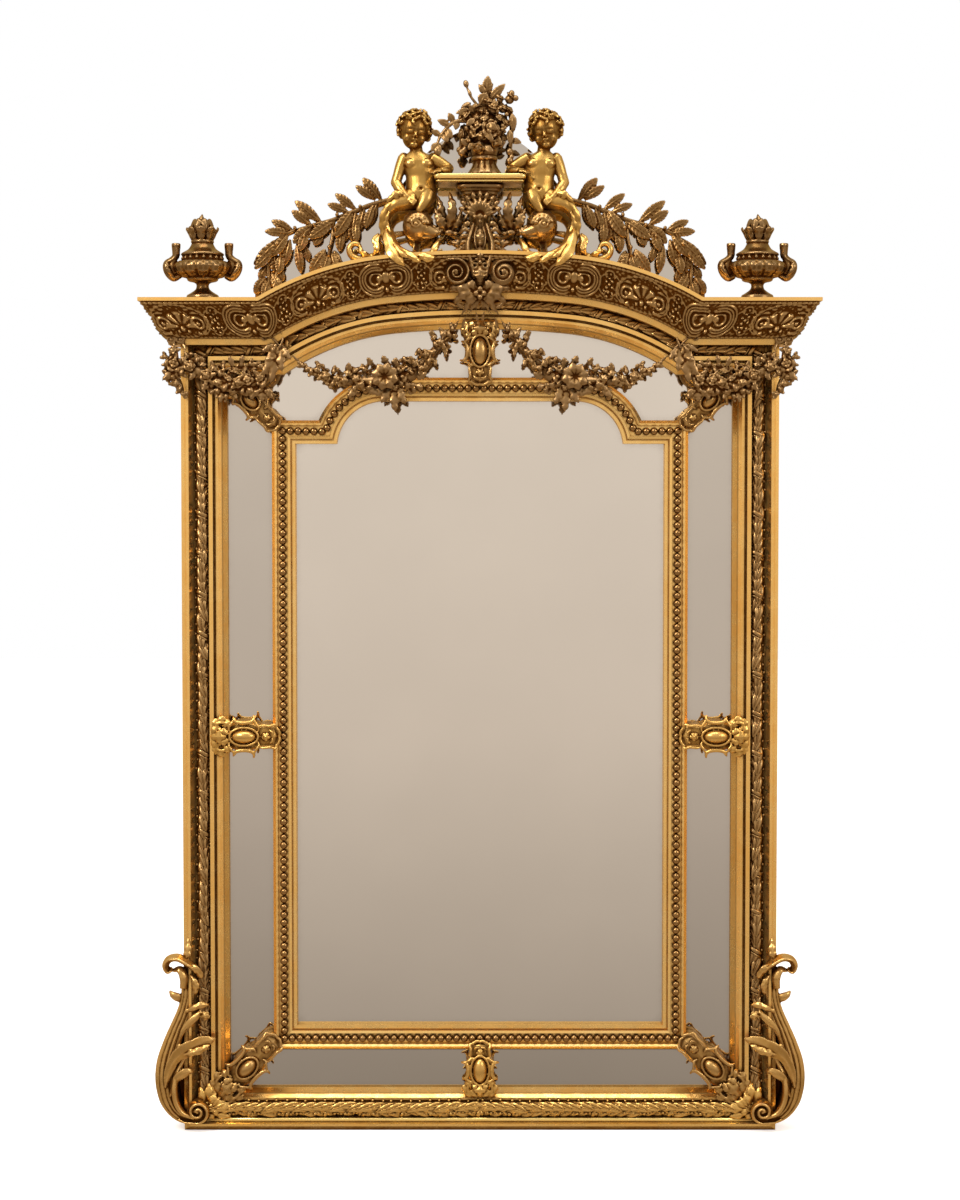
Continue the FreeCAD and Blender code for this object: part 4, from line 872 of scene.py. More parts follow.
def childHead(c):
    _, up, face, _ = headFrame()
    c.ball(onHead(0, 4, -2), (33, 29, 31), axis=up, normal=face, rings=20, around=28)
    c.ball(onHead(0, -12, 4), (24, 23, 22), axis=up, normal=face, rings=16, around=22)
    for s in (-1, 1):
        c.ball(onHead(s * 12, -13, 15), (10, 9.5, 9), axis=up, normal=face)
        c.ball(onHead(s * 10.5, -1.5, 20.5), (5.2, 5.6, 4.6), axis=up, normal=face)
        c.ball(onHead(s * 28, -6, -3), (8, 3, 5.5), axis=up, normal=face)
        brow = [onHead(s * 4.5, 6.0, 25.5), onHead(s * 10.5, 8.2, 23.5), onHead(s * 18, 4.5, 18)]
        c.tube(brow, [1.6, 2.2, 1.2], around=8, normal=face)
    c.tube([onHead(0, 4, 24), onHead(0, -3, 27.5), onHead(0, -8.5, 30.5)], [2.2, 2.7, 3.7], normal=face)
    for s in (-1, 1):
        c.ball(onHead(s * 3.4, -9.2, 27.8), 2.5, axis=up, normal=face, rings=6, around=8)
    for lip, radii in ((((-6.5, -16.0, 24), (-2.5, -15.2, 26.6), (0, -15.8, 27), (2.5, -15.2, 26.6),
            (6.5, -16.0, 24)), [0.8, 1.9, 1.7, 1.9, 0.8]), (((-5, -17.6, 24), (0, -19.0, 26.4), (5, -17.6, 24)),
            [0.9, 2.2, 0.9])):
        c.tube([onHead(*place) for place in lip], radii, around=8, normal=face)
    c.ball(onHead(0, -25.5, 20.5), (6.5, 8.5, 7), axis=up, normal=face)
    # curls over the crown, the back and the temples
    local = np.random.default_rng(5)
    count = child["curls"]
    for i in range(count):
        t = (i + 0.5) / count
        phi = i * 2.399963
        height = 1 - 1.55 * t
        ring = sqrt(max(0.0, 1 - height * height))
        a, f = ring * cos(phi), ring * sin(phi)
        if f > 0.36 and height < 0.40:
            continue    # the face stays clear
        place = onHead(31 * a, 5 + 34 * height, -3 + 33 * f)
        out = unit(place - onHead(0, 2, -3))
        across = unit(np.cross(out, up) + local.normal(0, 0.35, 3))
        along = np.cross(out, across)
        radius = 5.6 + local.random() * 2.2
        hand = 1 if local.random() > 0.5 else -1
        angle = np.linspace(0, 4.6, 11) * hand + local.random() * 6
        size = np.linspace(radius, 1.8, 11)
        curl = (place + across * (np.cos(angle) * size)[:, None] + along * (np.sin(angle) * size)[:, None]
                + out * np.linspace(0, 4.2, 11)[:, None])
        c.tube(curl, [2.8, 3.3, 3.1, 2.2], around=7, normal=out)


def hand(c, wrist, aim, palm, spread, size=1.0):
    # a small palm with four fingers and a thumb
    aim, palm = unit(np.array(aim, float)), unit(np.array(palm, float))
    side = np.cross(aim, palm)
    c.ball(wrist + aim * 7 * size, (9 * size, 7.5 * size, 4.5 * size), axis=aim, normal=palm)
    for k in range(4):
        a = (k - 1.5) * spread
        root = wrist + aim * 12 * size + side * (k - 1.5) * 3.6 * size
        way = unit(aim * cos(a) + side * sin(a))
        c.tube([root, root + way * 8 * size + palm * 0.5, root + way * 14 * size - palm * 3.5 * size],
               [2.4 * size, 2.2 * size, 1.5 * size], around=7, normal=palm)
    thumb = wrist + side * 6 * size + aim * 4 * size
    c.tube([thumb, thumb + side * 4 * size + aim * 5 * size, thumb + side * 4.5 * size + aim * 11 * size],
           [2.6 * size, 2.4 * size, 1.6 * size], around=7, normal=palm)


def childBody(c):
    d = child["depth"] - 4
    # torso: neck, shoulders, chest, waist, belly and hips as one loft of ellipses
    stations = [(126, 1962, 12, 11), (125, 1950, 13, 12), (122.5, 1940, 27, 16), (121, 1930, 33, 20),
                (119, 1915, 32, 22), (117, 1900, 29, 21.5), (116, 1886, 29.5, 23), (116, 1870, 31, 24.5),
                (117.5, 1855, 31, 23), (121, 1843, 25, 19), (124, 1836, 14, 12)]
    angle = np.linspace(0, 2 * pi, 26, endpoint=False)
    c.loft([np.stack([x + w * np.cos(angle), wallY - d - t * np.sin(angle), z + 0 * angle], 1)
            for x, z, w, t in stations])
    for s in (-1, 1):
        c.ball(at(120 + s * 14.5, 1924, d + 13), (11, 13, 9), rings=10, around=14)
        c.ball(at(121 + s * 29, 1935, d - 1), (13, 11, 13), rings=10, around=14)
    c.ball(at(115.5, 1877, d + 10), (17, 20, 15), rings=12, around=16)
    # the outer arm bends to rest its hand on the thigh
    c.rod([(149, 1937, 0), (158, 1912, 2), (165, 1889, 5)], [12.5, 12, 10.5, 10.5], around=14, depth=d)
    c.ball(at(165, 1888, d + 5), 10.6, rings=9, around=12)
    c.rod([(165, 1889, 5), (154, 1870, 15), (141, 1856, 22)], [10.5, 10.8, 8.5, 6.2], around=14, depth=d)
    hand(c, at(142, 1857, d + 22), (-0.75, -0.45, -0.55), (0.1, -1, 0.3), 0.05, 0.85)
    # the inner arm leans on the ledge
    c.rod([(94, 1936, 1), (76, 1926, 3), (62, 1917, 6)], [12.5, 12, 10.5, 9.8], around=14, depth=d)
    c.ball(at(61, 1915.5, d + 6), 9.8, rings=9, around=12)
    c.rod([(61, 1914, 6), (66, 1910, 22), (76, 1908, 34)], [9.6, 9.2, 7.5, 5.8], around=12, depth=d)
    hand(c, at(75, 1909, d + 33), (0.85, -0.5, -0.2), (0.1, -0.3, 1), 0.12, 0.95)
    # the inner thigh, a short cone over the ball
    c.rod([(104, 1868, 6), (108, 1852, 14), (117, 1836, 19), (120, 1828, 20)],
           [18, 15, 9, 5], around=16, depth=d)
    # the outer thigh runs on as one long ribbed leaf that ends in a point beside the ring
    leg = [(134, 1856, d + 4), (150, 1851, d + 10), (166, 1846, d + 13), (180, 1832, d + 12), (186, 1814, d + 10),
           (186.5, 1798, d + 8), (187, 1785, d + 8), (189, 1768, d + 8)]
    c.rod(leg, [22, 18.5, 16, 12, 9.5, 8.5, 6, 2], around=20, flutes=5, fluteDepth=0.05)
    for shift, width, start in ((6, 20, 2), (-5, 14, 3)):
        knots = [(x + shift * 0.5, z + shift * 0.6, q + 12 - 1.3 * k) for k, (x, z, q) in enumerate(leg[start:])]
        c.leaf(smoothPath(knots), width, thick=3.4, lobes=4, notch=0.2, rib=2.4, veins=1.4, peak=0.5)
    acanthus(c, [(150, 1866, 22), (166, 1862, 26), (184, 1848, 22)], 16, lobes=3, curl=3, depth=d)


def putti():
    c = Carving()
    childHead(c)
    childBody(c)
    face = headFrame()[2]
    for word, side in sides.items():
        piece = fuse(c if side > 0 else c.twin(), "putto_" + word + "_carved", child["voxel"], 3, 1.0)
        flip = np.array((side, 1, 1))
        for s in (-1, 1):
            for a, b, f, r, deep in ((10, -5.5, 25, (6.5, 6, 3.2), 1.7), (10, 3.6, 25, (6.5, 6, 2.6), 1.5),
                    (4.2, 0, 27, (2.6, 4, 4), 1.0)):
                dent(piece, onHead(s * a, b, f) * flip, r, deep, face * flip)
        dent(piece, onHead(0, -17.0, 27) * flip, (5.5, 4, 1.3), 1.2, face * flip)
        for place, r, deep in (((115.5, 1875, 132), (3.5, 6, 3.5), 4.0), ((120, 1922, 130), (7, 8, 12), 0.9),
                ((118, 1899, 128), (26, 12, 10), 0.8)):
            dent(piece, at(*place) * flip, r, deep)
        settle(piece, figureGold, ("putto_" + word,))
    print("putti carved")


# the section of the ledge is height and inset; its plan is set in from half and front
ledge = {"half": 89.8, "front": 154.6, "back": 61, "section": (
    (1885.2, 7), (1886.2, 4), (1888.6, 3.4), (1889, 7.5), (1891, 7.8), (1891.5, 2.4), (1893, 0.8), (1896, 0.3),
    (1899, 0.5), (1900.8, 1.4), (1901.6, 3))}


def ledgePiece():
    # two fillets with a dark line between them, round the front and the ends
    c = Carving()
    rings = []
    for z, inset in ledge["section"]:
        w, front, back = ledge["half"] - inset, ledge["front"] - inset, ledge["back"]
        right = [(w - 6, front), (w - 2, front - 2), (w, front - 6), (w, back)]
        plan = [(-x, depth) for x, depth in reversed(right)] + right
        rings.append([at(x, z, depth) for x, depth in plan])
    c.loft(rings)
    carved(c, "ledge_moulded", "gilding", corniceGold, 1.3, 1)


def acanthus(c, knots, width, lobes, curl, thick=3.4, rib=2.6, veins=1.6, notch=0.34, peak=0.4, depth=0.0):
    # a leaf with cut lobes that rolls over at its tip
    path = smoothPath(knots, depth=depth)
    t = np.linspace(0, 1, len(path))
    roll = np.clip((t - 0.8) / 0.2, 0, 1)
    path = path + outward * (curl * np.sin(t * pi) * 0.6 + curl * 0.5 * roll)[:, None]
    c.leaf(path, width, thick=thick, lobes=lobes, notch=notch, rib=rib, veins=veins, peak=peak)
    c.tube(path + outward * rib * 0.5, [width * 0.07, width * 0.055, 0.8], around=6)


def leafage(c, rows, side=1, **shape):
    # cut leaves of one kind: knots, width and number of lobes of each
    for knots, width, lobes in rows:
        acanthus(c, [(side * x, z, q) for x, z, q in knots], width, lobes, **shape)


crestBall = {"x": 121.6, "z": 1803.4, "depth": 105.0, "radius": 31, "leafReach": 32.5,
             "leaves": ((35, 16), (62, 18), (92, 20), (124, 18), (156, 16))}


def crestScrolls():
    # a ball with a blunt snout inside an open ring that comes forward over the cornice
    c, ring = Carving(), Carving()
    x, z, d, r = (crestBall[key] for key in ("x", "z", "depth", "leafReach"))
    c.ball(at(x, z, d + 4), crestBall["radius"], rings=18, around=24)
    for a, w in crestBall["leaves"]:
        # lobed leaves laid over the ball from behind
        way = radians(a)
        path = [at(x + r * cos(way) * f, z + r * sin(way) * f, d + 4 + r * sqrt(1 - f * f))
                for f in (0.98, 0.85, 0.65, 0.45, 0.3)]
        c.leaf(path, w, thick=2.6, lobes=3, rib=1.6, veins=1.0)
    c.rod([(x - 14, z - 8, 20), (x - 32, z - 13, 18), (x - 44, z - 10, 14), (x - 52, z - 3, 10)],
          [13, 10, 6, 4], flat=0.8, around=14, depth=d)
    c.rod([(x - 8, z - 20, 20), (x - 26, z - 20, 20), (x - 42, z - 16, 15)], [7, 6, 3], flat=0.7, around=12,
          depth=d)
    c.tube(circle(x + 4, z + 2, d + 34, 8, 6, 17), 1.8, around=7)
    c.ball(at(x + 4, z + 2, d + 34), (3.2, 4, 3.4), rings=7, around=9)
    # stays that tie the ball to the ring
    c.rod([(x + 24, z - 12, -6), (x + 46, z - 16, -2)], [5, 7], depth=d)
    c.rod([(x, z - 24, -12), (x + 4, z - 44, 6), (x + 6, z - 60, 40)], [7, 7, 6], depth=d)
    # the open ring, grooved along its length
    ring.rod([(184, 1812, 116), (177, 1790, 124), (170, 1770, 138), (159, 1756, 149), (144.5, 1747, 155),
              (128, 1742, 157), (111, 1741, 156), (97, 1745, 151), (87, 1757, 142), (79, 1776, 130)],
             [8, 8, 7.5, 6.5, 6, 6, 6, 6, 5.5, 2], flat=1.2, around=14, flutes=4, fluteDepth=0.10)
    # the cut leaves that hang from it in front of the cornice
    leafage(ring, (
        ([(184, 1796, 130), (180, 1774, 146), (173, 1752, 158), (163, 1737, 164), (154, 1728, 165),
          (145, 1720, 160)], 25, 3),
        ([(170, 1772, 142), (162, 1755, 156), (150, 1743, 163), (138, 1735, 161)], 14, 2),
        ([(150, 1749, 156), (136, 1741, 162), (125, 1733, 165), (113, 1727, 161)], 15, 2),
        ([(124, 1743, 158), (110, 1739, 163), (97, 1735, 164), (85, 1740, 159)], 17, 2),
        ([(116, 1740, 160), (104, 1732, 164), (92, 1730, 161)], 10, 1),
        ([(98, 1744, 152), (89, 1754, 149), (83, 1766, 141), (77, 1779, 130)], 14, 1),
        ([(196, 1786, 122), (201, 1772, 132), (198, 1756, 138), (206, 1745, 134)], 17, 2)),
        curl=3, thick=4.6, rib=3.0, notch=0.24)
    # small open curl outside, with its drop leaf
    ring.rod([(196, 1750, 0), (222, 1742, 0), (240, 1740, 0), (253, 1747, 0), (257, 1760, 0), (250, 1769, 0),
        (240, 1768, 0), (236, 1759, 0), (242, 1753, 2)], [7, 7.5, 7.5, 7, 6.5, 5.5, 4.5, 3.6], flat=1.3,
        depth=d)
    acanthus(ring, [(199, 1790, 4), (205, 1774, 10), (202, 1758, 12), (212, 1742, 6)], 18, lobes=2,
             curl=4, thick=5, depth=d)
    acanthus(ring, [(214, 1744, 4), (232, 1752, 8), (236, 1766, 4)], 13, lobes=2, curl=3, depth=d)
    carvedPairs((ring, "crest_scroll_{}_carved", "gilding", carvedGold, 1.4, 1),
                (c, "crest_ball_{}_carved", "antique_gilding", carvedBrown, 1.3, 1))


# steps of the cap: low, high, half width and half depth; stations of the bell: height, half width and half depth
pedestal = {"depth": 105.0, "cap": ((1875, 1883, 47, 37), (1869, 1875, 41, 34), (1862, 1869, 35, 32),
    (1854, 1862, 30, 28)), "bell": ((1866, 26, 30), (1850, 22, 30), (1830, 21, 34), (1812, 15, 30),
    (1790, 14, 26), (1760, 18, 28), (1735, 16, 34), (1712, 13, 42), (1695, 12, 44), (1684, 10, 42)),
    "forwardBelow": 1745, "forward": 14, "ray": 22, "straps": ((1800, 15), (1788, 18), (1776, 18), (1764, 18),
    (1752, 16), (1741, 14))}


def pedestalCarving():
    c = Carving()
    middle = wallY - pedestal["depth"]
    a = np.linspace(0, 2 * pi, 40, endpoint=False)
    square = [np.abs(wave) ** 0.45 * np.sign(wave) for wave in (np.cos(a), np.sin(a))]
    # moulded cap under the ledge
    for z0, z1, w, deep in pedestal["cap"]:
        c.loft([np.stack([w * g * square[0], middle - deep * g * square[1], 0 * a + z], 1)
                for z, g in ((z0, 0.93), (z0 + 1.5, 1), (z1 - 1.5, 1), (z1, 0.95))])
    c.loft([np.stack([w * np.cos(a), middle - (z < pedestal["forwardBelow"]) * pedestal["forward"]
                      - t * np.sin(a) * 0.9, 0 * a + z], 1) for z, w, t in pedestal["bell"]])
    # shell of fluted rays under the cap
    for k in range(-4, 5):
        lean = radians(k * pedestal["ray"])
        x, z = sin(lean), cos(lean)
        c.rod([(3 * x, 1822 + 2 * z, 143), (17 * x, 1824 + 16 * z, 150), (30 * x, 1826 + 29 * z, 144)],
              [2.2, 3.8, 4.8, 3.4], around=9)
        acanthus(c, [(30 * x, 1828 + 25 * z, 142), (36 * x, 1832 + 31 * z, 146), (42 * x, 1832 + 37 * z, 138)],
                 11, lobes=2, curl=3)
    c.berries(149, ((0, 1818, 6.5), (-10, 1817, 4.5), (10, 1817, 4.5), (-17, 1822, 4), (17, 1822, 4),
                    (0, 1808, 4.5)), around=10)
    for s in (-1, 1):
        # straps of the lyre, ribbed, with small leaves outside them
        c.rod([(s * 12, 1806, 142), (s * 17, 1790, 147), (s * 23, 1768, 151), (s * 23, 1750, 154),
            (s * 17, 1728, 157), (s * 11, 1700, 160)], [3.5, 5, 5.6, 5.6, 5, 4], flat=1.1, around=12, flutes=4,
            fluteDepth=0.14)
        c.rod([(s * 6, 1800, 142), (s * 9, 1784, 147), (s * 9, 1766, 150), (s * 5, 1752, 152)], [2, 3, 3, 1.6],
              around=9)
        for z, reach in pedestal["straps"]:
            x = s * (15 + 8 * sin((1812 - z) / 84 * pi))
            acanthus(c, [(x, z, 146), (x + s * reach * 0.5, z + 5, 149), (x + s * reach, z - 4, 143)], 11,
                     lobes=2, curl=3, thick=2.6)
        # curls that meet over the foot
        c.tube(spiralPath(s * 10, 1722, 160, 90, 90 - s * 400, 9, 3, 30, lift=3), [1.6, 2.6, 2.4, 2], around=8)
        # sprays of broad leaves beside the stem, and an open stalk
        leafage(c, (([(66, 1790, 114), (78, 1813, 124), (90, 1838, 116)], 22, 5),
                    ([(62, 1796, 120), (54, 1834, 130), (60, 1870, 118)], 22, 5),
                    ([(64, 1800, 112), (76, 1838, 116), (84, 1864, 108)], 16, 5),
                    ([(56, 1792, 116), (42, 1812, 124), (36, 1836, 116)], 17, 5),
                    ([(70, 1786, 116), (86, 1794, 122), (98, 1812, 114)], 15, 5)), s, curl=6)
        c.rod([(s * 48, 1806, 116), (s * 30, 1816, 118), (s * 21, 1832, 118), (s * 24, 1850, 116),
            (s * 36, 1858, 114)], [3, 3.4, 3.4, 3], around=9)
        c.ball(at(s * 60, 1789, 126), (6, 10, 6))
        c.ball(at(s * 47, 1787, 126), (4.5, 6, 5), rings=8, around=10)
        c.rod([(s * 10, 1780, 118), (s * 34, 1778, 114), (s * 56, 1788, 112), (s * 68, 1800, 112)], [7, 6, 6, 5])
        leafage(c, (([(30, 1778, 122), (44, 1768, 130), (60, 1772, 124)], 17, 3),
                    ([(26, 1770, 128), (36, 1756, 136), (52, 1754, 132)], 15, 3),
                    ([(40, 1786, 124), (30, 1800, 130), (26, 1812, 124)], 12, 3),
                    ([(72, 1752, 138), (84, 1744, 142), (94, 1730, 136)], 15, 3)), s, curl=5)
        # volutes: a grooved ribbon that winds in to its eye
        outer = smoothPath([(s * 92, 1736, 128), (s * 76, 1743, 136), (s * 58, 1741, 146)], 6)
        wound = spiralPath(s * 46, 1708, 152, 90 - s * 20, 90 - s * 20 + s * 800, 27, 4, 80, lift=8)
        c.tube(np.vstack([outer[:-1], wound]), [2.5, 5, 5.6, 5.4, 4.6, 4.0, 3.4, 2.8, 2.4, 2.2], flat=2.0,
               around=14, flutes=3, fluteDepth=0.2)
        c.ball(at(s * 46, 1708, 158), (5, 5, 6))
        c.tube([at(s * 46, 1708, 128), at(s * 46, 1708, 151)], [26, 22], around=24, normal=(0, 0, 1))
    # leaves down the middle
    leafage(c, (([(0, 1796, 146), (0, 1778, 156), (0, 1756, 154)], 17, 3),
                ([(0, 1760, 152), (0, 1742, 160), (0, 1728, 158)], 14, 3),
                ([(0, 1722, 158), (0, 1704, 163), (0, 1686, 158)], 22, 4)), curl=4, thick=4)
    c.berries(163, ((0, 1764, 4.5), (0, 1727, 4.2), (-7, 1733, 3.4), (7, 1733, 3.4)))
    carved(c, "pedestal_carved", "antique_gilding", antique, 1.4, 1)


def rose(c, centre, size, facing, seed):
    # a full flower of round, cupped petals about a button
    local = np.random.default_rng(seed + 7)
    facing = unit(np.array(facing, float))
    ref = np.array((0.0, 0.0, 1.0)) if abs(facing[2]) < 0.8 else np.array((1.0, 0.0, 0.0))
    a = unit(np.cross(facing, ref))
    b = np.cross(facing, a)
    spin = local.random() * 6.28
    for count, reach, lift, wide in ((5, 0.60, 0.0, 0.50), (4, 0.30, 0.26, 0.33)):
        for k in range(count):
            t = spin + reach * 2 + 2 * pi * k / count
            way = a * cos(t) + b * sin(t)
            # a petal is a thin dish that leans outward
            c.ball(centre + way * size * reach + facing * size * lift,
                   (size * wide * 0.9, size * wide, size * 0.17), axis=way + facing * 0.4,
                   normal=facing - way * 0.4, rings=7, around=10)
    c.ball(centre + facing * size * 0.42, size * 0.2, axis=facing, normal=b, rings=6, around=8)


def simpleLeaf(c, base, tip, width, facing=outward, bend=0.15, thick=2.4, lobes=0, veins=0.0, peak=0.4,
               blunt=0.04):
    # a leaf from base to tip that bows towards facing
    base, tip, facing = (np.array(v, float) for v in (base, tip, facing))
    middle = (base + tip) / 2 + facing * np.linalg.norm(tip - base) * bend
    t = np.linspace(0, 1, 9)[:, None]
    path = base * (1 - t) ** 2 + 2 * middle * t * (1 - t) + tip * t ** 2
    steps = None if lobes else 22 if veins else 10
    c.leaf(path, width, thick=thick, lobes=lobes, rib=1.5 if lobes else -1.2, veins=veins, normal=facing,
           steps=steps, rows=7, peak=peak, tip=blunt)
    c.tube(path + facing * 0.6, [1.6, 1.1, 0.5], around=5, normal=facing)


def simpleLeaves(c, near, far, rows, *look):
    # place and height of the root and the tip, and the width of each, between two depths
    for x, z, tipX, tipZ, width in rows:
        simpleLeaf(c, at(x, z, near), at(tipX, tipZ, far), width, outward, *look)


# stations of the fluted bowl and the plain neck are height and radius
bouquet = {"x": 9.0, "depth": 105.0, "flutes": 6, "fluteDepth": 0.07, "sprigs": 44, "seed": 8,
           "bowl": ((1902, 31), (1905, 33), (1909, 31), (1916, 26), (1924, 22.5), (1932, 21), (1934, 20)),
           "neck": ((1932, 24), (1935, 26.5), (1938, 24.5), (1941, 23), (1950, 26), (1958, 27), (1962, 24)),
           # place, height, how far forward and size of each flower
           "heads": [
               (27, 2034, 24, 13), (20, 1990, 30, 19), (-6, 1999, 26, 11), (-27, 2019, 12, 12),
               (-38, 2019, 6, 8), (-36, 1982, 12, 12), (-24, 1969, 16, 9), (-34, 1963, 12, 8),
               (-3, 1953, 28, 13), (47, 2034, 14, 10), (50, 2004, 16, 11), (59, 2031, 8, 9),
               (38, 2013, 24, 10), (5, 2026, 24, 11), (-9, 2036, 16, 10), (-19, 2004, 20, 10),
               (8, 2011, 32, 9), (36, 1984, 24, 9), (3, 1976, 30, 10), (-16, 1982, 24, 10), (41, 2053, 10, 9),
               (18, 2046, 18, 9), (30, 1962, 24, 9), (62, 2056, 8, 12.5), (28, 2016, -24, 17),
               (-10, 2018, -24, 16), (34, 1982, -22, 15), (-6, 1978, -24, 15), (10, 2040, -18, 15),
               (-32, 1994, -8, 12), (48, 2012, -8, 12)]}


def bouquetCarving():
    c = Carving()
    x, d = bouquet["x"], bouquet["depth"]
    a = np.linspace(0, 2 * pi, 40, endpoint=False)
    fluted = 1 + bouquet["fluteDepth"] * np.abs(np.sin(bouquet["flutes"] * a))
    for key, wave in (("bowl", fluted), ("neck", 1)):
        c.loft([np.stack([x + r * wave * np.cos(a), wallY - d - r * wave * np.sin(a), 0 * a + z], 1)
                for z, r in bouquet[key]])
    # a core of moss, then flowers in front, at the sides and behind
    c.ball(at(8, 1998, d), (46, 34, 24), rings=14, around=18)
    for i, (px, pz, f, r) in enumerate(bouquet["heads"]):
        centre = at(px, pz, d + f)
        facing = unit(centre - at(x, 1985, d - 10 if f >= 0 else d + 20))
        c.ball(centre - facing * r * 0.55, r * 0.75, rings=8, around=10)
        rose(c, centre, r, facing, i)
    # buds and berries: place, height, how far forward and radius
    for px, pz, f, r in ((62, 2062, 12, 6), (70, 2052, 12, 6), (-36, 1946, 12, 8), (-41, 1952, 8, 6),
            (-30, 1952, 14, 6), (58, 1948, 10, 8), (58, 1930, 10, 8), (62, 1938, 12, 5), (-16, 1992, 28, 4),
            (-11, 1987, 30, 4), (44, 1996, 28, 4), (44, 1989, 28, 4), (49, 1993, 25, 4), (14, 2019, 32, 4),
            (-26, 1992, 22, 5), (30, 2002, 32, 4), (-4, 2012, 28, 4), (22, 1966, 30, 4), (52, 2020, 16, 5),
            (34, 2024, 26, 4)):
        c.ball(at(px, pz, d + f), r, rings=7, around=9)
    # broad leaves: how far forward, then root, tip and width
    for f, *row in ((6, 12, 2056, 16, 2097, 23), (9, 9, 2060, -3, 2080, 12), (4, 14, 2066, 26, 2082, 10),
                    (8, 20, 2050, 50, 2081, 18), (14, 0, 2040, 14, 2062, 24), (10, 63, 2022, 66, 1986, 17),
                    (10, 60, 1972, 82, 1965, 14), (14, 58, 1990, 60, 1960, 15), (10, -20, 2030, -48, 2022, 14),
                    (36, 16, 2000, 36, 1986, 14), (34, 10, 1984, 26, 1964, 14), (22, 28, 1976, 44, 1958, 14),
                    (26, -10, 2010, -28, 1996, 12), (24, 20, 2030, 36, 2044, 12), (16, -24, 1960, -38, 1972, 12),
                    (30, 10, 1956, 26, 1944, 13), (26, -12, 1962, -24, 1950, 12), (-12, 12, 2050, 20, 2086, 16)):
        simpleLeaves(c, d + f, d + f + 3, [row], 0.18, 3.4, 0, 0.9)
    local = np.random.default_rng(bouquet["seed"])
    for i in range(bouquet["sprigs"]):
        angle = local.random() * 2 * pi
        way = unit(np.array((cos(angle), -sin(angle) * 0.8, local.normal(0.1, 0.5))))
        centre = np.array((8 + 26 * cos(angle), wallY - d - 19 * sin(angle), 1958 + 88 * local.random()))
        simpleLeaf(c, centre, centre + way * (17 + 8 * local.random()), 12 + 3 * local.random(),
                   unit(np.cross(way, (0, 0, 1)) * 0.3 + outward * (1 if sin(angle) > 0 else -1)), thick=3)
    # the stalk with its buds, the branch to the left and the hanging spray to the right
    c.rod([(0, 2034, 4), (-16, 2053, 6), (-21, 2063, 6), (-27, 2078, 6)], [3.4, 2.6, 2.4], around=7, depth=d)
    c.ball(at(-20, 2062, d + 7), (7.5, 3.8, 3.8), axis=(-0.35, 0, 1))
    c.ball(at(-27.5, 2081, d + 6), (7.5, 5.6, 5.6), axis=(-0.25, 0, 1))
    c.rod([(-20, 2008, 6), (-44, 2008, 8), (-62, 1998, 8), (-78, 1978, 8), (-84, 1962, 8)],
          [5, 4, 3.4, 2.8], around=8, depth=d)
    simpleLeaves(c, d + 8, d + 12, ((-52, 2006, -62, 2024, 15), (-60, 2000, -84, 2010, 15),
        (-66, 1994, -54, 1974, 14), (-74, 1984, -62, 1966, 14), (-78, 1980, -96, 1990, 14),
        (-84, 1964, -80, 1940, 15), (-84, 1966, -96, 1948, 14), (-44, 2008, -48, 1990, 14)), 0.15, 3.2, 0, 0.8)
    c.ball(at(-84, 1950, d + 9), (9, 6.5, 6), axis=(-0.1, 0, -1))
    c.rod([(48, 2040, 2), (60, 2020, 6), (62, 1990, 8), (59, 1958, 8), (58, 1930, 8)],
          [5, 5, 4, 3], around=8, depth=d)
    c.rod([(-26, 1990, 4), (-36, 1970, 8), (-36, 1948, 10)], [6, 5, 4], around=8, depth=d)
    carved(c, "bouquet_carved", "bronze_gilding", bronze, 1.3, 1)


putti()
crestScrolls()
pedestalCarving()
bouquetCarving()


laurel = {"depth": 52.0, "widen": 1.14, "leaves": [
    # in order along the stem: root, tip, width and how far forward
    (196, 1862, 233, 1905, 20, 6), (208, 1862, 247, 1889, 17, 10), (247, 1843, 288, 1874, 17, 6),
    (262, 1838, 303, 1853, 16, 10), (316, 1817, 368, 1860, 20, 6), (336, 1812, 374, 1840, 18, 10),
    (372, 1801, 415, 1821, 17, 6), (380, 1796, 428, 1799, 17, 10), (394, 1788, 450, 1733, 20, 8),
    (408, 1764, 448, 1724, 18, 12), (255, 1840, 288, 1788, 23, 10), (290, 1820, 339, 1785, 22, 10),
    (333, 1809, 372, 1776, 24, 8), (344, 1800, 358, 1760, 18, 14), (382, 1794, 414, 1750, 21, 10),
    (378, 1784, 389, 1732, 18, 6), (364, 1776, 356, 1716, 17, 10), (396, 1754, 400, 1714, 18, 12),
    (247, 1840, 256, 1780, 19, 6), (247, 1820, 245, 1776, 16, 12), (230, 1846, 242, 1799, 17, 6),
    (213, 1850, 228, 1805, 17, 10), (205, 1854, 219, 1812, 14, 5), (276, 1804, 280, 1759, 18, 8),
    (266, 1818, 268, 1780, 15, 5), (314, 1796, 331, 1772, 17, 6), (308, 1764, 338, 1716, 21, 12),
    (297, 1757, 281, 1711, 18, 10), (302, 1754, 311, 1720, 18, 14), (295, 1754, 275, 1729, 17, 8),
    (291, 1762, 281, 1738, 14, 5), (428, 1710, 449, 1676, 19, 8), (415, 1715, 393, 1676, 19, 10),
    (421, 1702, 431, 1667, 18, 12), (413, 1698, 411, 1667, 17, 8), (423, 1702, 446, 1667, 18, 5),
    (352, 1774, 340, 1740, 15, 5), (412, 1764, 403, 1712, 21, 3), (417, 1722, 401, 1690, 17, 4),
    (404, 1730, 392, 1700, 16, 6), (424, 1734, 440, 1704, 16, 4)]}


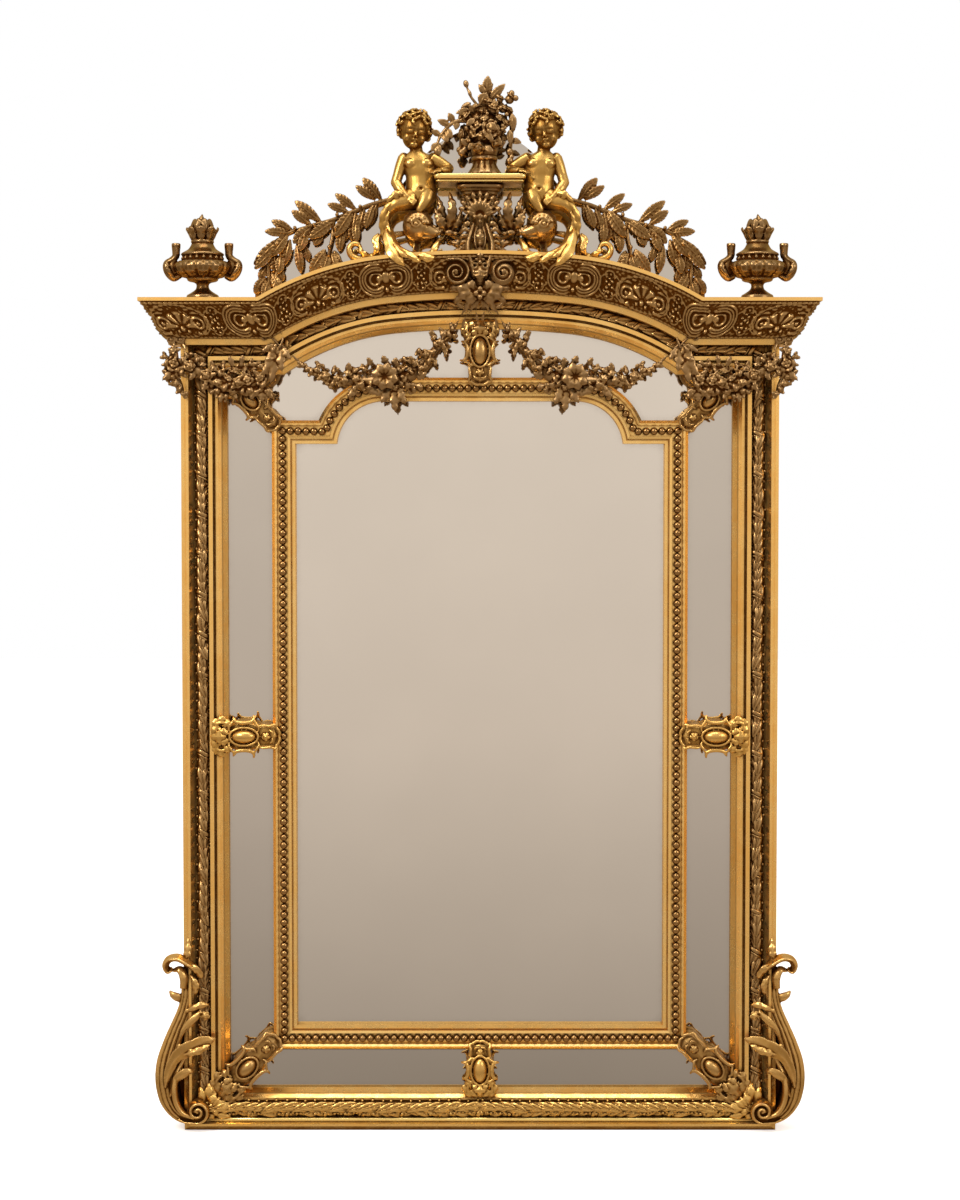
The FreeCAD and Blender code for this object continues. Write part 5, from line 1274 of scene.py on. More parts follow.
def laurelSprays():
    c = Carving()
    d = laurel["depth"]
    stem = [(176, 1864, d), (189, 1860, d), (221, 1851, d), (247, 1840, d + 1), (276, 1829, d + 2),
        (293, 1822, d + 3), (318, 1815, d + 3), (345, 1807, d + 3), (375, 1798, d + 3), (396, 1786, d + 3),
        (411, 1768, d + 3), (420, 1743, d + 3), (421, 1713, d + 4), (418, 1690, d + 6)]
    c.rod(stem, [5.6, 5.4, 5, 4.8, 4.4, 3.8], around=9, flutes=3, fluteDepth=0.12)
    for *ends, width, forward in laurel["leaves"]:
        simpleLeaves(c, d + forward * 0.4, d + forward, [(*ends, width * laurel["widen"])], 0.16, 3.0, 0, 1.1,
            0.55, 0.16)
    for knots in ([(291, 1820, d + 3), (294, 1788, d + 7), (299, 1766, d + 9), (301, 1750, d + 9)],
                  [(345, 1806, d + 2), (358, 1786, d + 5), (362, 1768, d + 6)],
                  [(396, 1786, d + 2), (398, 1768, d + 6), (397, 1750, d + 8)]):
        c.rod(knots, [4.2, 3.4, 3], around=7)
    for x, z in ((238, 1848), (284, 1832), (330, 1812), (368, 1806), (300, 1768), (288, 1806), (350, 1790),
                 (405, 1774)):
        c.ball(at(x, z, d + 11), 4.2, rings=6, around=8)
    carvedPairs((c, "laurel_{}_carved", "antique_gilding", laurelGold, 1.2, 0))


# each turned part is a list of heights over the base and radii
urn = {"x": 546.0, "depth": 110.0, "base": 1660.0, "pearls": 18, "tongues": 5,
    "foot": ((0, 32), (3, 32.5), (8, 31), (10, 27.5), (12, 24), (16, 18), (20, 13.5), (25, 12), (30, 12.5),
    (33, 17), (35, 27), (37, 30), (40, 31), (42, 30), (44, 26)), "bowl": ((42, 27), (45, 34), (50, 44),
    (56, 51), (62, 54), (68, 53), (72, 49)), "neck": ((70, 50), (72, 51), (74, 48), (75, 39), (84, 37),
    (85, 40), (87, 42.5), (90, 41), (94, 34), (97, 29)), "lip": ((95, 31), (100, 26), (106, 22.5), (110, 21),
    (112, 23), (115, 22), (118, 16))}


def urnPair():
    c = Carving()
    x, d, base = urn["x"], urn["depth"], urn["base"]
    foot = at(x, base, d)
    a = np.linspace(0, 2 * pi, 66, endpoint=False)

    def turned(stations, lobes=0, deep=0.0):
        wave = 1 + deep * np.abs(np.sin(lobes * a / 2)) if lobes else 1 + 0 * a
        c.loft([np.stack([x + r * wave * np.cos(a), wallY - d - r * wave * np.sin(a), 0 * a + base + z], 1)
                for z, r in stations])

    def upright(count, shift, stations, width, **shape):
        # leaves that stand in a ring about the axis
        for k in range(count):
            t = 2 * pi * (k + shift) / count
            way = np.array((cos(t), -sin(t), 0))
            c.leaf(np.array([foot + way * r + (0, 0, z) for r, z in stations]), width, normal=way, **shape)

    turned(urn["foot"])
    turned(urn["bowl"], 22, 0.05)    # wide, shallow and gadrooned
    turned(urn["neck"])
    turned(urn["lip"])
    for k in range(urn["pearls"]):
        t = 2 * pi * k / urn["pearls"]
        c.ball(foot + (39 * cos(t), -39 * sin(t), 79.5), 3.9, rings=6, around=8)
    upright(11, 0, ((27, 43), (40, 46), (50, 53), (54.5, 62), (54, 67)), 21, thick=3, lobes=3, rib=2, veins=1.2)
    # the flame: two rings of leaves about twisting tongues
    upright(8, 0, ((15, 113), (21, 121), (25, 130), (29, 137), (30, 142)), 20, thick=4.4, lobes=2, rib=2.4,
            veins=1.3, peak=0.6)
    upright(7, 0.25, ((13, 119), (19, 130), (20, 142), (16, 152), (12, 158)), 17, thick=4.6, lobes=2, rib=2.4,
            veins=1.3, peak=0.6)
    for k in range(urn["tongues"]):
        steps = np.linspace(0, 1, 10)
        radius = 10 * np.sin((0.3 + 0.7 * steps) * pi)
        turn = 2 * pi * k / urn["tongues"] + 1.4 * steps
        rise = base + 122 + (45 - 6 * (k % 3)) * steps
        path = np.stack([x + radius * np.cos(turn), foot[1] - radius * np.sin(turn), rise], 1)
        c.tube(path, [9, 9.5, 8.5, 5.5, 1.2], around=9, normal=(1, 0, 0))
    c.ball(foot + (0, 0, 133), (24, 18, 18))
    # handles: a post with a cap that bends out, down and back under the bowl
    for s in (-1, 1):
        bend = [(52, 107), (52, 94), (53, 84), (61, 77), (71, 71), (71, 60), (65, 49), (56, 42), (44, 46)]
        c.rod([(x + s * r, base + z, d) for r, z in bend], [8.4, 7.4, 6.8, 6, 5.6, 6.8, 7.4, 6.8, 4.4], around=12,
              flutes=4, fluteDepth=0.12)
        c.tube([at(x + s * 52, base + 105, d), at(x + s * 52, base + 110, d)], [9.4, 8.6], around=8,
               normal=(1, 0, 0))
        c.rod([(x + s * r, base + z, d) for r, z in ((52, 84), (60, 66), (54, 50))], [5, 6.5, 5])
        acanthus(c, [(x + s * 70, base + 74, 5), (x + s * 69, base + 60, 8), (x + s * 56, base + 45, 6)], 13,
                 lobes=2, curl=2, thick=3, depth=d)
    carvedPairs((c, "urn_{}_carved", "antique_gilding", antique, 1.4, 1))


def garland(c, name):
    # a twisted core with flowers and buds laid over it
    core, radii, flowers, forward, seed = (garlands[name][key] for key in ("core", "radii", "flowers",
        "forward", "seed"))
    depth = swags["depth"] + forward
    local = np.random.default_rng(seed)
    c.tube(smoothPath([(x, z, depth - 4) for x, z in core], 6), radii)
    line = smoothPath([(x, z, depth) for x, z in core], 6)
    for index, (x, z, size, kind) in enumerate(flowers):
        place = at(x, z, depth)
        near = line[np.argmin(np.linalg.norm(line - place, axis=1))]
        side = place - near
        side[1] = 0
        lift = max(2.0, 13 - 0.35 * np.linalg.norm(side))
        facing = unit(outward + side * 0.035 + np.array((local.normal(0, 0.12), 0, local.normal(0.05, 0.12))))
        centre = place + outward * lift
        # what ties the flower to the core
        c.tube([near, (near + centre) / 2 - outward * 2, centre], [3.2, 3.0, size * 0.3], around=6,
            normal=(1, 0, 0.3))
        if kind:
            rose(c, centre, size, facing, seed * 31 + index)
        else:
            turn = local.random() * 3.1
            size *= 0.85
            axis = unit(np.array((cos(turn), -0.35, sin(turn)))) * size
            c.tube([centre + axis * q for q in (-1.1, -0.6, 0, 0.6, 1.2)],
                   [size * q for q in (0.3, 0.85, 0.95, 0.7, 0.2)], around=12, flutes=3, fluteDepth=0.14,
                   normal=(0.2, -1, 0.1))
        # small leaves that show between the flowers
        root = centre - outward * 4
        for t in local.random(2) * 6.28:
            simpleLeaf(c, root, root + np.array((cos(t), -0.25, sin(t))) * (size + 8), 11, outward, 0.15, 2.8,
                       3, 1.4, 0.5, 0.06)


def ribbon(c, knots, wide, depth=0.0, thick=2.2):
    path = smoothPath(knots, depth=depth)
    width = wide / 2 * (0.7 + 0.3 * np.sin(np.linspace(0, 1, len(path)) * 9))
    c.tube(path, list(width), flat=thick / wide, around=8)


# each garland has a core of places and heights, its radii, how far it stands forward of the depth, and its
# flowers: place, height, size, and 1 for an open flower or 0 for a bud
swags = {"depth": 112.0, "voxel": 1.5}
garlands = {
    "outer": {"radii": (9, 13, 15, 15, 13, 9, 6), "forward": 2, "seed": 21, "core": (
        (587, 1529), (545, 1514), (500, 1494), (456, 1494), (421, 1510), (409, 1541), (393, 1569)), "flowers": (
        (587, 1516, 7.5, 0), (571, 1529, 12, 1), (557, 1541, 7.5, 0), (545, 1533, 8, 1), (577, 1549, 7.5, 0),
        (538, 1510, 14, 1), (524, 1525, 9, 1), (512, 1514, 8.5, 0), (506, 1529, 6.5, 0), (502, 1486, 9.5, 0),
        (516, 1496, 8.5, 1), (494, 1506, 9.5, 1), (482, 1522, 11, 1), (476, 1496, 11.5, 1), (458, 1502, 13, 1),
        (464, 1520, 7.5, 0), (445, 1522, 8, 1), (433, 1508, 10.5, 1), (427, 1492, 8.5, 0), (470, 1533, 6.5, 0),
        (452, 1533, 6, 0), (421, 1527, 9, 1), (413, 1543, 7, 0), (431, 1529, 6, 0), (407, 1561, 7, 0))},
    "outerLow": {"radii": (5, 7, 8, 7, 5), "forward": -4, "seed": 25, "core": (
        (540, 1490), (510, 1482), (476, 1482), (440, 1482), (418, 1478)), "flowers": (
        (528, 1492, 6, 0), (528, 1478, 6.5, 0), (516, 1480, 8, 1), (500, 1470, 6.5, 0), (486, 1478, 8.5, 1),
        (468, 1479, 7.5, 0), (452, 1481, 9, 1), (439, 1477, 7, 0), (415, 1480, 8.5, 1), (421, 1467, 5.5, 0))},
    "drop": {"radii": (7, 11, 9, 6, 3), "forward": -6, "seed": 31, "core": (
        (604, 1568), (605, 1541), (603, 1512), (592, 1490), (586, 1474)), "flowers": (
        (605, 1559, 9.5, 1), (619, 1547, 6, 0), (603, 1533, 18, 1), (620, 1518, 7.5, 0), (605, 1508, 9, 1),
        (599, 1494, 8.5, 1), (591, 1484, 6.5, 0), (585, 1473, 4.5, 0))},
    "inner": {"radii": (3, 4, 6, 9, 13, 15, 13, 9, 6, 4, 3), "forward": 0, "seed": 47, "core": (
        (357, 1537), (332, 1520), (298, 1508), (258, 1500), (215, 1498), (179, 1498), (140, 1510), (110, 1537),
        (86, 1567), (68, 1588), (50, 1604)), "flowers": (
        (349, 1530, 6, 0), (340, 1523, 6.5, 0), (332, 1518, 6, 0), (320, 1523, 7.5, 1), (316, 1531, 5, 0),
        (304, 1508, 11.5, 1), (288, 1518, 7, 0), (282, 1504, 8, 1), (268, 1500, 9.5, 1), (260, 1516, 9, 1),
        (245, 1520, 8, 0), (243, 1504, 9, 1), (227, 1522, 7.5, 0), (248, 1484, 7, 0), (233, 1492, 7.5, 0),
        (217, 1486, 7, 0), (205, 1480, 6.5, 0), (151, 1523, 5, 0), (153, 1508, 5, 0), (134, 1516, 5, 0),
        (159, 1520, 7, 0), (148, 1541, 8.5, 0), (128, 1535, 9.5, 1), (116, 1525, 7.5, 0), (142, 1490, 8, 1),
        (130, 1482, 6, 0), (167, 1484, 9.5, 1), (155, 1494, 6, 0), (106, 1551, 12, 1), (120, 1559, 6.5, 0),
        (92, 1557, 7.5, 0), (100, 1539, 7.5, 0), (88, 1571, 6.5, 0), (78, 1576, 8.5, 1), (68, 1565, 5.5, 0),
        (90, 1586, 7.5, 1), (72, 1592, 8, 1), (60, 1590, 6.5, 0), (49, 1588, 6.5, 0), (54, 1602, 7, 0))},
}


openFlower = {"x": 187, "z": 1508, "petals": 8, "rims": ((16.5, 21, 2.8), (11.5, 20, 2.2))}
knot = {"z": 1668, "depth": 152.0, "leaves": ((60, 1680, 26, 4), (52, 1650, 24, 4), (34, 1698, 20, 3),
    (30, 1632, 22, 4))}


def garlandPieces():
    d = swags["depth"]
    look = 8 / 60, 2.8, 3, 1.2    # bend, thickness, lobes and veins of a loose leaf
    outer, inner = Carving(), Carving()
    for name in ("outer", "outerLow", "drop"):
        garland(outer, name)
    # two turned rosettes at the corner
    for x in (608, 590):
        outer.tube([at(x, 1581, d - 26), at(x, 1581, d + 3)], [9, 8], around=18, normal=(0, 0, 1))
        outer.tube(circle(x, 1581, d + 4, 7, 7, 21), 2.2, around=8)
        outer.ball(at(x, 1581, d + 4), (3.4, 3.4, 4))
    ribbon(outer, [(588, 1578, 2), (580, 1562, 8), (588, 1548, 12), (578, 1540, 12)], 8, depth=d)
    ribbon(outer, [(606, 1578, 2), (600, 1566, 8), (604, 1552, 12)], 8, depth=d)
    ribbon(outer, [(396, 1570, 4), (410, 1584, 4), (424, 1580, 5), (434, 1590, 4)], 6, depth=d)
    ribbon(outer, [(394, 1566, 4), (388, 1584, 4), (394, 1600, 6), (390, 1618, 10)], 6, depth=d)
    # dark leaves that hang below the tie
    simpleLeaves(outer, d + 8, d + 14, ((396, 1566, 424, 1534, 18), (398, 1558, 430, 1508, 21),
        (400, 1552, 412, 1494, 21), (392, 1562, 389, 1516, 18), (404, 1572, 430, 1556, 14),
        (388, 1566, 372, 1540, 15)), *look)
    simpleLeaves(outer, d + 6, d + 8, ((440, 1486, 452, 1462, 16), (430, 1484, 430, 1458, 17),
        (420, 1486, 408, 1464, 15), (508, 1478, 512, 1456, 14), (560, 1520, 572, 1500, 15),
        (535, 1500, 548, 1478, 15), (486, 1528, 494, 1550, 14), (470, 1534, 466, 1552, 13),
        (604, 1520, 626, 1500, 15)), *look)
    garland(inner, "inner")
    # the open flower at the lowest point: pointed petals round a hollow cup
    x, z, petals = openFlower["x"], openFlower["z"], openFlower["petals"]
    for k in range(petals):
        t = 2 * pi * k / petals + 0.25
        way = np.array((cos(t), 0, sin(t)))
        centre = at(x, z, d + 14)
        path = [centre, centre + way * 15 + outward * 9, centre + way * 29 + outward * 6]
        inner.leaf(path, 21, thick=3, rib=1.5, peak=0.5, base=0.45, steps=9, rows=7)
    for size, lift, tube in openFlower["rims"]:
        inner.tube(circle(x - 1, z, d + lift, size, size * 0.9, 25), tube, around=9, flat=1.3)
    inner.ball(at(x - 1, z, d + 13), 5)
    simpleLeaves(inner, d + 6, d + 11, ((176, 1484, 195, 1456, 21), (170, 1484, 167, 1438, 23),
        (164, 1484, 146, 1454, 21), (186, 1486, 205, 1470, 18), (258, 1516, 258, 1536, 16),
        (183, 1530, 192, 1550, 18), (170, 1526, 164, 1546, 18), (124, 1504, 104, 1516, 18),
        (126, 1492, 112, 1486, 15), (294, 1502, 295, 1482, 15), (70, 1572, 67, 1545, 13),
        (92, 1546, 86, 1528, 14), (240, 1482, 262, 1468, 15), (226, 1488, 200, 1472, 16),
        (212, 1530, 222, 1546, 15)), *look)
    ribbon(inner, [(52, 1600, 2), (40, 1622, 14), (24, 1648, 30)], 7, depth=d)
    ribbon(inner, [(354, 1536, 0), (372, 1552, 1), (392, 1572, 3)], 6, depth=d)
    carvedPairs((outer, "swag_outer_{}_carved", "bronze_gilding", bronze, swags["voxel"], 0),
                (inner, "swag_inner_{}_carved", "bronze_gilding", bronze, swags["voxel"], 0))


def knotCarving():
    # over the middle of the arch, with falling ribbon ends and leaves
    c = Carving()
    k, middle = knot["depth"], knot["z"]
    c.ball(at(0, middle, k - 6), (15, 19, 15))
    for s in (-1, 1):
        for x, z, w, lobes in knot["leaves"]:
            bend = middle + (z - middle) * 0.4 + 6
            acanthus(c, [(s * 6, middle, -4), (s * x * 0.55, bend, 2), (s * x, z, -12)], w, lobes=lobes,
                     curl=6, thick=3, depth=k)
        ribbon(c, [(s * 8, 1664, 0), (s * 30, 1664, 2), (s * 44, 1650, -4), (s * 34, 1640, -6)], 9, depth=k)
        ribbon(c, [(s * 6, 1660, 0), (s * 16, 1638, -4), (s * 30, 1620, -16), (s * 34, 1602, -26)], 8, depth=k)
        ribbon(c, [(s * 4, 1658, 0), (s * 8, 1636, -6), (s * 4, 1616, -18)], 8, depth=k)
    c.berries(k + 9, ((0, 1676, 6), (-8, 1668, 5.5), (8, 1668, 5.5), (0, 1660, 5.5)))
    carved(c, "knot_carved", "bronze_gilding", bronze, 1.4, 1)


# place, height, lean in degrees, length, width and the half axes of the egg
clasps = {"side": (471, 794, -90, 142, 68, (24, 13.5)), "foot": (467, 127, -45, 172, 64, (21, 13)),
          "head": (455, 1462, -135, 150, 54, (17, 11)), "bottom": (0, 122, 0, 116, 60, (25, 14)),
          "top": (0, 1560, 180, 132, 64, (27, 15))}
# stations along the body: share of the half length, share of the half width, fall of the front
claspBlock = {"base": 44.0, "high": 92.0, "voxel": 1.25, "body": (
    (-0.94, 0.40, 24), (-0.84, 0.62, 18), (-0.62, 0.74, 12), (-0.42, 0.66, 9), (-0.22, 0.86, 7),
    (0.22, 0.86, 7), (0.40, 0.66, 8), (0.5, 0.68, 8), (0.84, 0.68, 9), (0.95, 0.50, 14), (1.0, 0.28, 20))}


def claspCarving(key):
    # an egg in a ring on a cartouche: rolled borders with curled ends, a panel with a flower at one end
    # and leaves at the other
    x, z, lean, length, width, (ba, bb) = clasps[key]
    base, high = claspBlock["base"], claspBlock["high"]
    c = Carving()
    turn = radians(lean)
    along = np.array((sin(turn), 0, cos(turn)))
    across = np.array((cos(turn), 0, -sin(turn)))
    centre = at(x, z, 0)
    half, wide = length / 2, width / 2

    def put(a, b, depth):
        return centre + along * a + across * b + outward * depth

    def line(*knots):
        # places as shares of the half length and half width
        path = smoothPath([(a * half, b * wide, high + q) for a, b, q in knots], 6)
        return np.array([put(p[0], p[2], wallY - p[1]) for p in path])

    # body, waisted on both sides of the egg
    rings = []
    for a, w, drop in claspBlock["body"]:
        section = ((-1, base - high), (-1, -drop - 7), (-0.8, -drop - 1), (0, 3 - drop), (0.8, -drop - 1),
                   (1, -drop - 7), (1, base - high))
        rings.append([put(a * half, b * w * wide, high + q) for b, q in section])
    c.loft(rings)
    c.ball(put(0, 0, high - 3), (ba, bb, 14), axis=along, rings=16, around=24)
    t = np.linspace(0, 2 * pi, 37)
    c.tube(np.array([put((ba + 4.5) * cos(q), (bb + 4.5) * sin(q), high - 1) for q in t]), 2.5, around=9)
    for s in (-1, 1):
        for knots, radii in (
                # the long border that rolls out above the egg and ends in two curls
                (((-0.30, 1.16, -6), (-0.27, 1.02, -3), (-0.20, 0.86, -2), (0, 0.80, -1), (0.20, 0.86, -2),
                  (0.28, 1.04, -3), (0.27, 1.26, -7)), [1.8, 3.2, 4, 4.2, 4, 3.2, 2.0]),
                (((-0.28, 1.0, -3), (-0.36, 0.72, -1), (-0.42, 0.52, -2), (-0.40, 0.30, -3)),
                 [2.4, 2.8, 2.8, 1.6]),
                (((0.28, 1.0, -3), (0.36, 0.72, -1), (0.42, 0.52, -2), (0.40, 0.30, -3)), [2.4, 2.8, 2.8, 1.6]),
                # the rim of the flower panel, with a curl at its outer corner
                (((0.42, 0.62, -4), (0.54, 0.66, -2), (0.74, 0.62, -1), (0.86, 0.70, -4), (0.92, 0.62, -6),
                  (0.88, 0.50, -5)), [1.6, 2.8, 3.0, 3.0, 2.4, 1.6]),
                (((0.90, 0.56, -6), (0.97, 0.36, -7), (1.0, 0.16, -8), (0.98, 0, -8)), [2.4, 3.0, 3.0, 2.6]),
                (((0.72, 0.40, -3), (0.80, 0.26, -1), (0.80, 0.06, -1)), [1.8, 2.4, 1.8]),
                # the C-scroll of the other end
                (((-0.42, 0.62, -4), (-0.56, 0.80, -3), (-0.72, 0.78, -4), (-0.80, 0.58, -5), (-0.72, 0.44, -3),
                  (-0.64, 0.52, -3)), [1.8, 3.0, 3.2, 3.0, 2.4, 1.8])):
            c.tube(line(*((a, s * b, q) for a, b, q in knots)), radii, around=9 if len(knots) == 7 else 8)
        for knots, size in ((((-0.56, 0.70, -8), (-0.64, 0.98, -4), (-0.70, 1.22, -9)), 0.34),
                (((-0.70, 0.60, -8), (-0.84, 0.80, -5), (-0.96, 0.98, -14)), 0.34),
                (((-0.66, 0.30, -6), (-0.84, 0.40, -3), (-1.0, 0.48, -14)), 0.36),
                (((-0.40, 0.50, -6), (-0.46, 0.78, -2), (-0.44, 1.02, -10)), 0.30)):
            c.leaf(line(*((a, s * b, q) for a, b, q in knots)), width * size, lobes=2, rib=2, veins=1)
    for knots, size in ((((-0.48, 0, -4), (-0.70, 0, 2), (-1.0, 0, -10)), 0.40),
            (((-0.42, 0.16, -4), (-0.58, 0.30, 0), (-0.74, 0.26, -3)), 0.24),
            (((-0.42, -0.16, -4), (-0.58, -0.30, 0), (-0.74, -0.26, -3)), 0.24)):
        c.leaf(line(*knots), width * size, thick=3.4, lobes=3, rib=2.4, veins=1.2)
    rose(c, put(half * 0.62, 0, high - 4), wide * 0.27, outward, 5)
    return c


def claspPieces():
    slot, voxel = "gilding", claspBlock["voxel"]
    carvedPairs((claspCarving("side"), "clasp_{}_carved", slot, carvedGold, voxel, 1),
                (claspCarving("foot"), "clasp_foot_{}_carved", slot, leafGold, voxel, 1),
                (claspCarving("head"), "clasp_head_{}_carved", slot, leafGold, voxel, 1))
    carved(claspCarving("bottom"), "clasp_bottom_carved", slot, carvedGold, voxel, 1)
    carved(claspCarving("top"), "clasp_top_carved", slot, leafGold, voxel, 1)


# leaves and berries spread from one point: angle in degrees, reach, then width or radius
corner = {"x": 548.5, "z": 40.0, "seed": 3, "leaves": ((96, 58, 18), (74, 50, 16), (116, 44, 15), (172, 60, 18),
    (196, 50, 16), (152, 46, 15), (134, 40, 18), (230, 22, 14), (20, 18, 14), (-60, 20, 13), (60, 34, 14),
    (186, 30, 14)), "berries": ((40, 14, 4), (110, 20, 4.5), (160, 18, 4.5), (210, 15, 4), (300, 8, 4.5),
    (135, 26, 4))}


def cornerLeaves():
    # the leafy mass where two leaf bands meet at the foot
    c = Carving()
    x, z, d = corner["x"], corner["z"], band["depth"]
    local = np.random.default_rng(corner["seed"])
    for turn, reach, width in corner["leaves"]:
        t = radians(turn)
        steps = ((0.05, 8), (0.5, 15 + local.random() * 4), (0.85, 13), (1.0, 5))
        acanthus(c, [(x + cos(t) * reach * q, z + sin(t) * reach * q, d + up) for q, up in steps], width,
                 lobes=3, curl=2, thick=3.2, rib=2.2, veins=1.2)
    c.berries(d + 14, [(x + reach * cos(radians(turn)), z + reach * sin(radians(turn)), r)
                       for turn, reach, r in corner["berries"]])
    carvedPairs((c, "corner_leaves_{}", "antique_gilding", carvedGold, 1.2, 1))


def reeded(c, knots, widths, deep, reeds, groove):
    # a band whose front is worked in reeds along its length, reaching back by deep
    path = smoothPath(knots)
    normals, side = framesAlong(path)
    t = np.linspace(-1, 1, reeds * 6 + 1)
    half = np.interp(np.linspace(0, 1, len(path)), np.linspace(0, 1, len(widths)), widths)[:, None, None]
    front = (half * 0.55 * (np.sqrt(1 - 0.93 * t ** 2) - 1)[None, :, None]
             + groove * (np.abs(np.sin(pi * reeds * (t + 1) / 2)) - 1)[None, :, None])
    across = path[:, None, :] + side[:, None, :] * half * t[None, :, None]
    out = normals[:, None, :]
    c.loft(np.concatenate([across + out * front, (across - out * deep)[:, ::-1]], 1))


# the stem is a line of places, heights and depths with its half widths
foot = {"depth": 66.0, "stemDeep": 56, "reeds": 4, "groove": 2.6, "eyeX": 565, "eyeZ": 43,
        "stem": ((597, 330, 82), (588, 306, 88), (586, 281, 90), (589, 257, 90), (596, 234, 90), (609, 203, 92),
                 (620, 173, 94), (629, 141, 96), (632, 114, 98), (631, 88, 98), (625, 61, 98), (611, 38, 98),
                 (590, 25, 98), (566, 23, 98)),
        "widths": (9, 13, 14, 14.5, 15, 16, 18, 20, 20.5, 20, 18, 14, 11, 8),
        "web": ((578, 604, 14), (578, 626, 40), (578, 632, 90), (578, 626, 140), (582, 612, 190), (578, 600, 240),
                (578, 598, 300), (578, 600, 330))}


def scrollFeet():
    c = Carving()
    d, x, z = foot["depth"], foot["eyeX"], foot["eyeZ"]
    # a reeded band from the curl above round the belly to the volute
    reeded(c, foot["stem"], foot["widths"], foot["stemDeep"], foot["reeds"], foot["groove"])
    c.rod([(590, 152, 96), (606, 118, 102), (611, 88, 106), (607, 60, 106), (594, 40, 106), (572, 30, 106)],
          [3, 5.5, 6, 6, 5.5, 4], flat=1.6, around=14)
    # volute on the front
    wound = spiralPath(x, z, 106, -90, -90 - 640, 24, 4, 64, lift=6)
    c.tube(np.vstack([smoothPath([(604, 27, 100), (586, 18, 105)], 4)[:-1], wound]),
        [2.2, 3.6, 3.8, 3.6, 3.2, 2.8, 2.6], flat=2.0, around=12)
    # nib on the outer edge
    c.rod([(600, 266, 14), (609, 270, 18), (617, 275, 18), (623, 281, 14)], [8, 8, 6, 2], flat=0.8,
          around=12, flutes=2, fluteDepth=0.12, depth=d)
    c.ball(at(x, z, 110), (4, 4, 5))
    c.tube([at(x, z, 60), at(x, z, 104)], [24, 21], around=24, normal=(0, 0, 1))
    # the curl at the top: a sheet of leaf that rolls outward and down
    c.rod([(560, 316, 22), (570, 328, 26), (584, 341, 28), (604, 351, 28), (621, 348, 26),
           (629, 336, 24), (625, 324, 22), (616, 327, 22)], [3, 6, 8, 7.5, 7, 6.5, 5, 3.4], flat=2.4,
          around=16, flutes=4, fluteDepth=0.10, depth=d)
    c.rod([(613, 324, 20), (600, 326, 24), (592, 311, 26), (594, 289, 24)], [4, 7, 8, 6], flat=1.6,
          around=14, flutes=3, fluteDepth=0.10, depth=d)
    leafage(c, (
        ([(586, 334, 30), (572, 334, 36), (561, 322, 34), (556, 308, 28)], 17, 3),
        ([(592, 338, 26), (585, 360, 30), (584, 392, 22)], 17, 5),
        ([(580, 318, 28), (568, 300, 34), (569, 276, 28)], 15, 4),
        # branches that sweep in over the stile
        ([(604, 178, 30), (594, 204, 36), (579, 223, 38), (565, 236, 36), (556, 250, 30)], 15, 1),
        ([(592, 240, 30), (572, 252, 38), (557, 258, 38), (541, 256, 30)], 15, 2),
        ([(630, 90, 34), (623, 122, 38), (608, 152, 44), (586, 170, 48), (565, 181, 48),
          (544, 187, 44), (527, 190, 36)], 32, 3),
        ([(598, 160, 46), (578, 164, 52), (558, 170, 52), (538, 180, 46)], 16, 4),
        ([(620, 72, 32), (610, 104, 38), (597, 118, 42), (583, 125, 42), (572, 122, 36)], 19, 1)),
        curl=5, thick=4, rib=3.4, veins=2.2, notch=0.24, peak=0.6, depth=d)
    for x, z, r in ((601, 174, 5), (604, 166, 4.5), (586, 246, 3.6)):
        c.ball(at(x, z, d + 38), (r * 1.3, r, r), rings=7, around=9)
    rose(c, at(549, 236, d + 36), 10, outward, 2)
    # plain sawn web behind the opening
    c.loft([[at(near, z, 28), at(near, z, 44), at(far, z, 44), at(far, z, 28)] for near, far, z in foot["web"]])
    carvedPairs((c, "scroll_foot_{}_carved", "gilding", footGold, 1.5, 1))


ledgePiece()
laurelSprays()
urnPair()
garlandPieces()
knotCarving()
claspPieces()
cornerLeaves()
scrollFeet()


# the room by direction: height from -1 below to 1 above, and its colour
studioLight = ((-0.92, (0.78, 0.64, 0.48)), (-0.62, (0.66, 0.54, 0.41)), (-0.46, (0.60, 0.49, 0.37)),
               (-0.27, (0.36, 0.29, 0.22)), (-0.10, (0.74, 0.62, 0.50)), (0.05, (0.86, 0.74, 0.61)),
               (0.35, (0.75, 0.675, 0.59)), (0.7, (0.94, 0.90, 0.85)))


def studio():
    world = bpy.data.worlds.new("studio")
    bpy.context.scene.world = world
    world.use_nodes = True
    g = Graph("studio", world.node_tree)
    height = g.node("SeparateXYZ", {"Vector": g.node("TexCoord", output="Generated")}, output="Z")
    ramp = g.tree.nodes.new("ShaderNodeValToRGB")
    g.tree.links.new((height * 0.5 + 0.5).socket, ramp.inputs[0])
    points = ramp.color_ramp.elements
    while len(points) < len(studioLight):
        points.new(0.5)
    for element, (level, colour) in zip(points, studioLight):
        element.position = level * 0.5 + 0.5
        element.color = (*colour, 1.0)
    # the camera itself sees white paper
    room = g.node("Background", {"Color": Wire(g, ramp.outputs[0]), "Strength": 1.0})
    paper = g.node("Background", {"Color": (1, 1, 1, 1), "Strength": 1.0})
    seen = g.node("LightPath", output="Is Camera Ray")
    g.node("OutputWorld", {"Surface": g.node("MixShader", {0: seen, 1: room, 2: paper})})


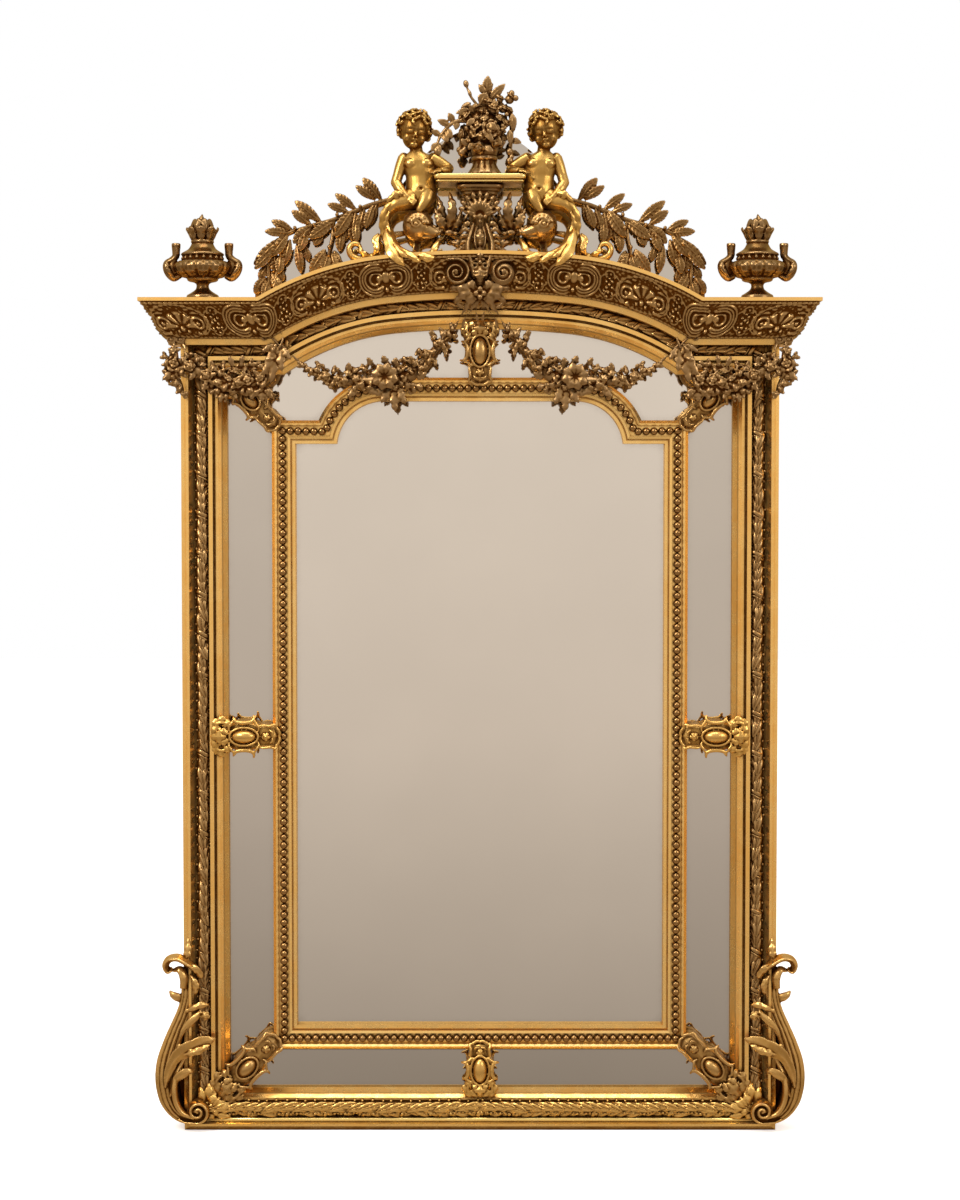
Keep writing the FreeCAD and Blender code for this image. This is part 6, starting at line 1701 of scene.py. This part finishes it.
# place, target, size, power, colour and whether gloss shows it
lamps = {"key": ((-2.4, -2.6, 3.6), (0.0, 0.0, 1.1), (1.3, 1.3), 95.0, (1.0, 0.97, 0.93), True),
         "fill": ((3.2, -2.4, 2.9), (0.0, 0.0, 1.0), (1.6, 1.2), 40.0, (1.0, 0.98, 0.96), True),
         "top": ((0.0, -1.0, 4.4), (0.0, 0.0, 1.0), (2.4, 1.0), 45.0, (1.0, 0.98, 0.96), True),
         "low": ((-1.2, -3.4, 0.35), (0.0, 0.0, 0.8), (2.0, 0.4), 10.0, (1.0, 0.95, 0.9), False)}


def lamp(name, place, target, size, power, colour, glossy):
    data = bpy.data.lights.new(name, "AREA")
    data.shape = "RECTANGLE"
    data.size, data.size_y = size
    data.energy = power
    data.color = colour
    piece = addObject(data)
    piece.location = place
    piece.rotation_euler = (Vector(target) - Vector(place)).to_track_quat("-Z", "Y").to_euler()
    piece.visible_glossy = glossy


floor = {"half": 14.0, "dark": (0.93,) * 3, "light": (0.95,) * 3, "glow": 0.45}


def floorPlane():
    half = floor["half"]
    data = bpy.data.meshes.new("floor")
    data.from_pydata([(-half, -half, 0), (half, -half, 0), (half, half, 0), (-half, half, 0)], [], [(0, 1, 2, 3)])
    piece = addObject(data)
    g = Graph("floorPaper")
    tone = g.noise(0.8, 2.0).ramp(0.3, 0.7)
    data.materials.append(g.surface(Base_Color=g.mix(tone, floor["dark"], floor["light"]), Roughness=0.9,
        Emission_Color=(1, 1, 1, 1), Emission_Strength=floor["glow"], Normal=g.bump(g.noise(150.0), 0.02,
        0.001)))
    piece.visible_glossy = False


view = {"place": (0.0, -4.61, 1.260), "pitch": 87.6, "lens": 69.6, "sensor": 36.0, "far": 100.0}


def camera():
    data = bpy.data.cameras.new("camera")
    data.sensor_fit = "AUTO"
    data.sensor_width = view["sensor"]
    data.lens = view["lens"]
    data.clip_end = view["far"]
    piece = addObject(data)
    piece.location = view["place"]
    piece.rotation_euler = (radians(view["pitch"]), 0.0, 0.0)
    bpy.context.scene.camera = piece


studio()
for name, settings in lamps.items():
    lamp(name, *settings)
floorPlane()
camera()
bpy.context.scene.view_settings.view_transform = "Standard"
print("stage set")
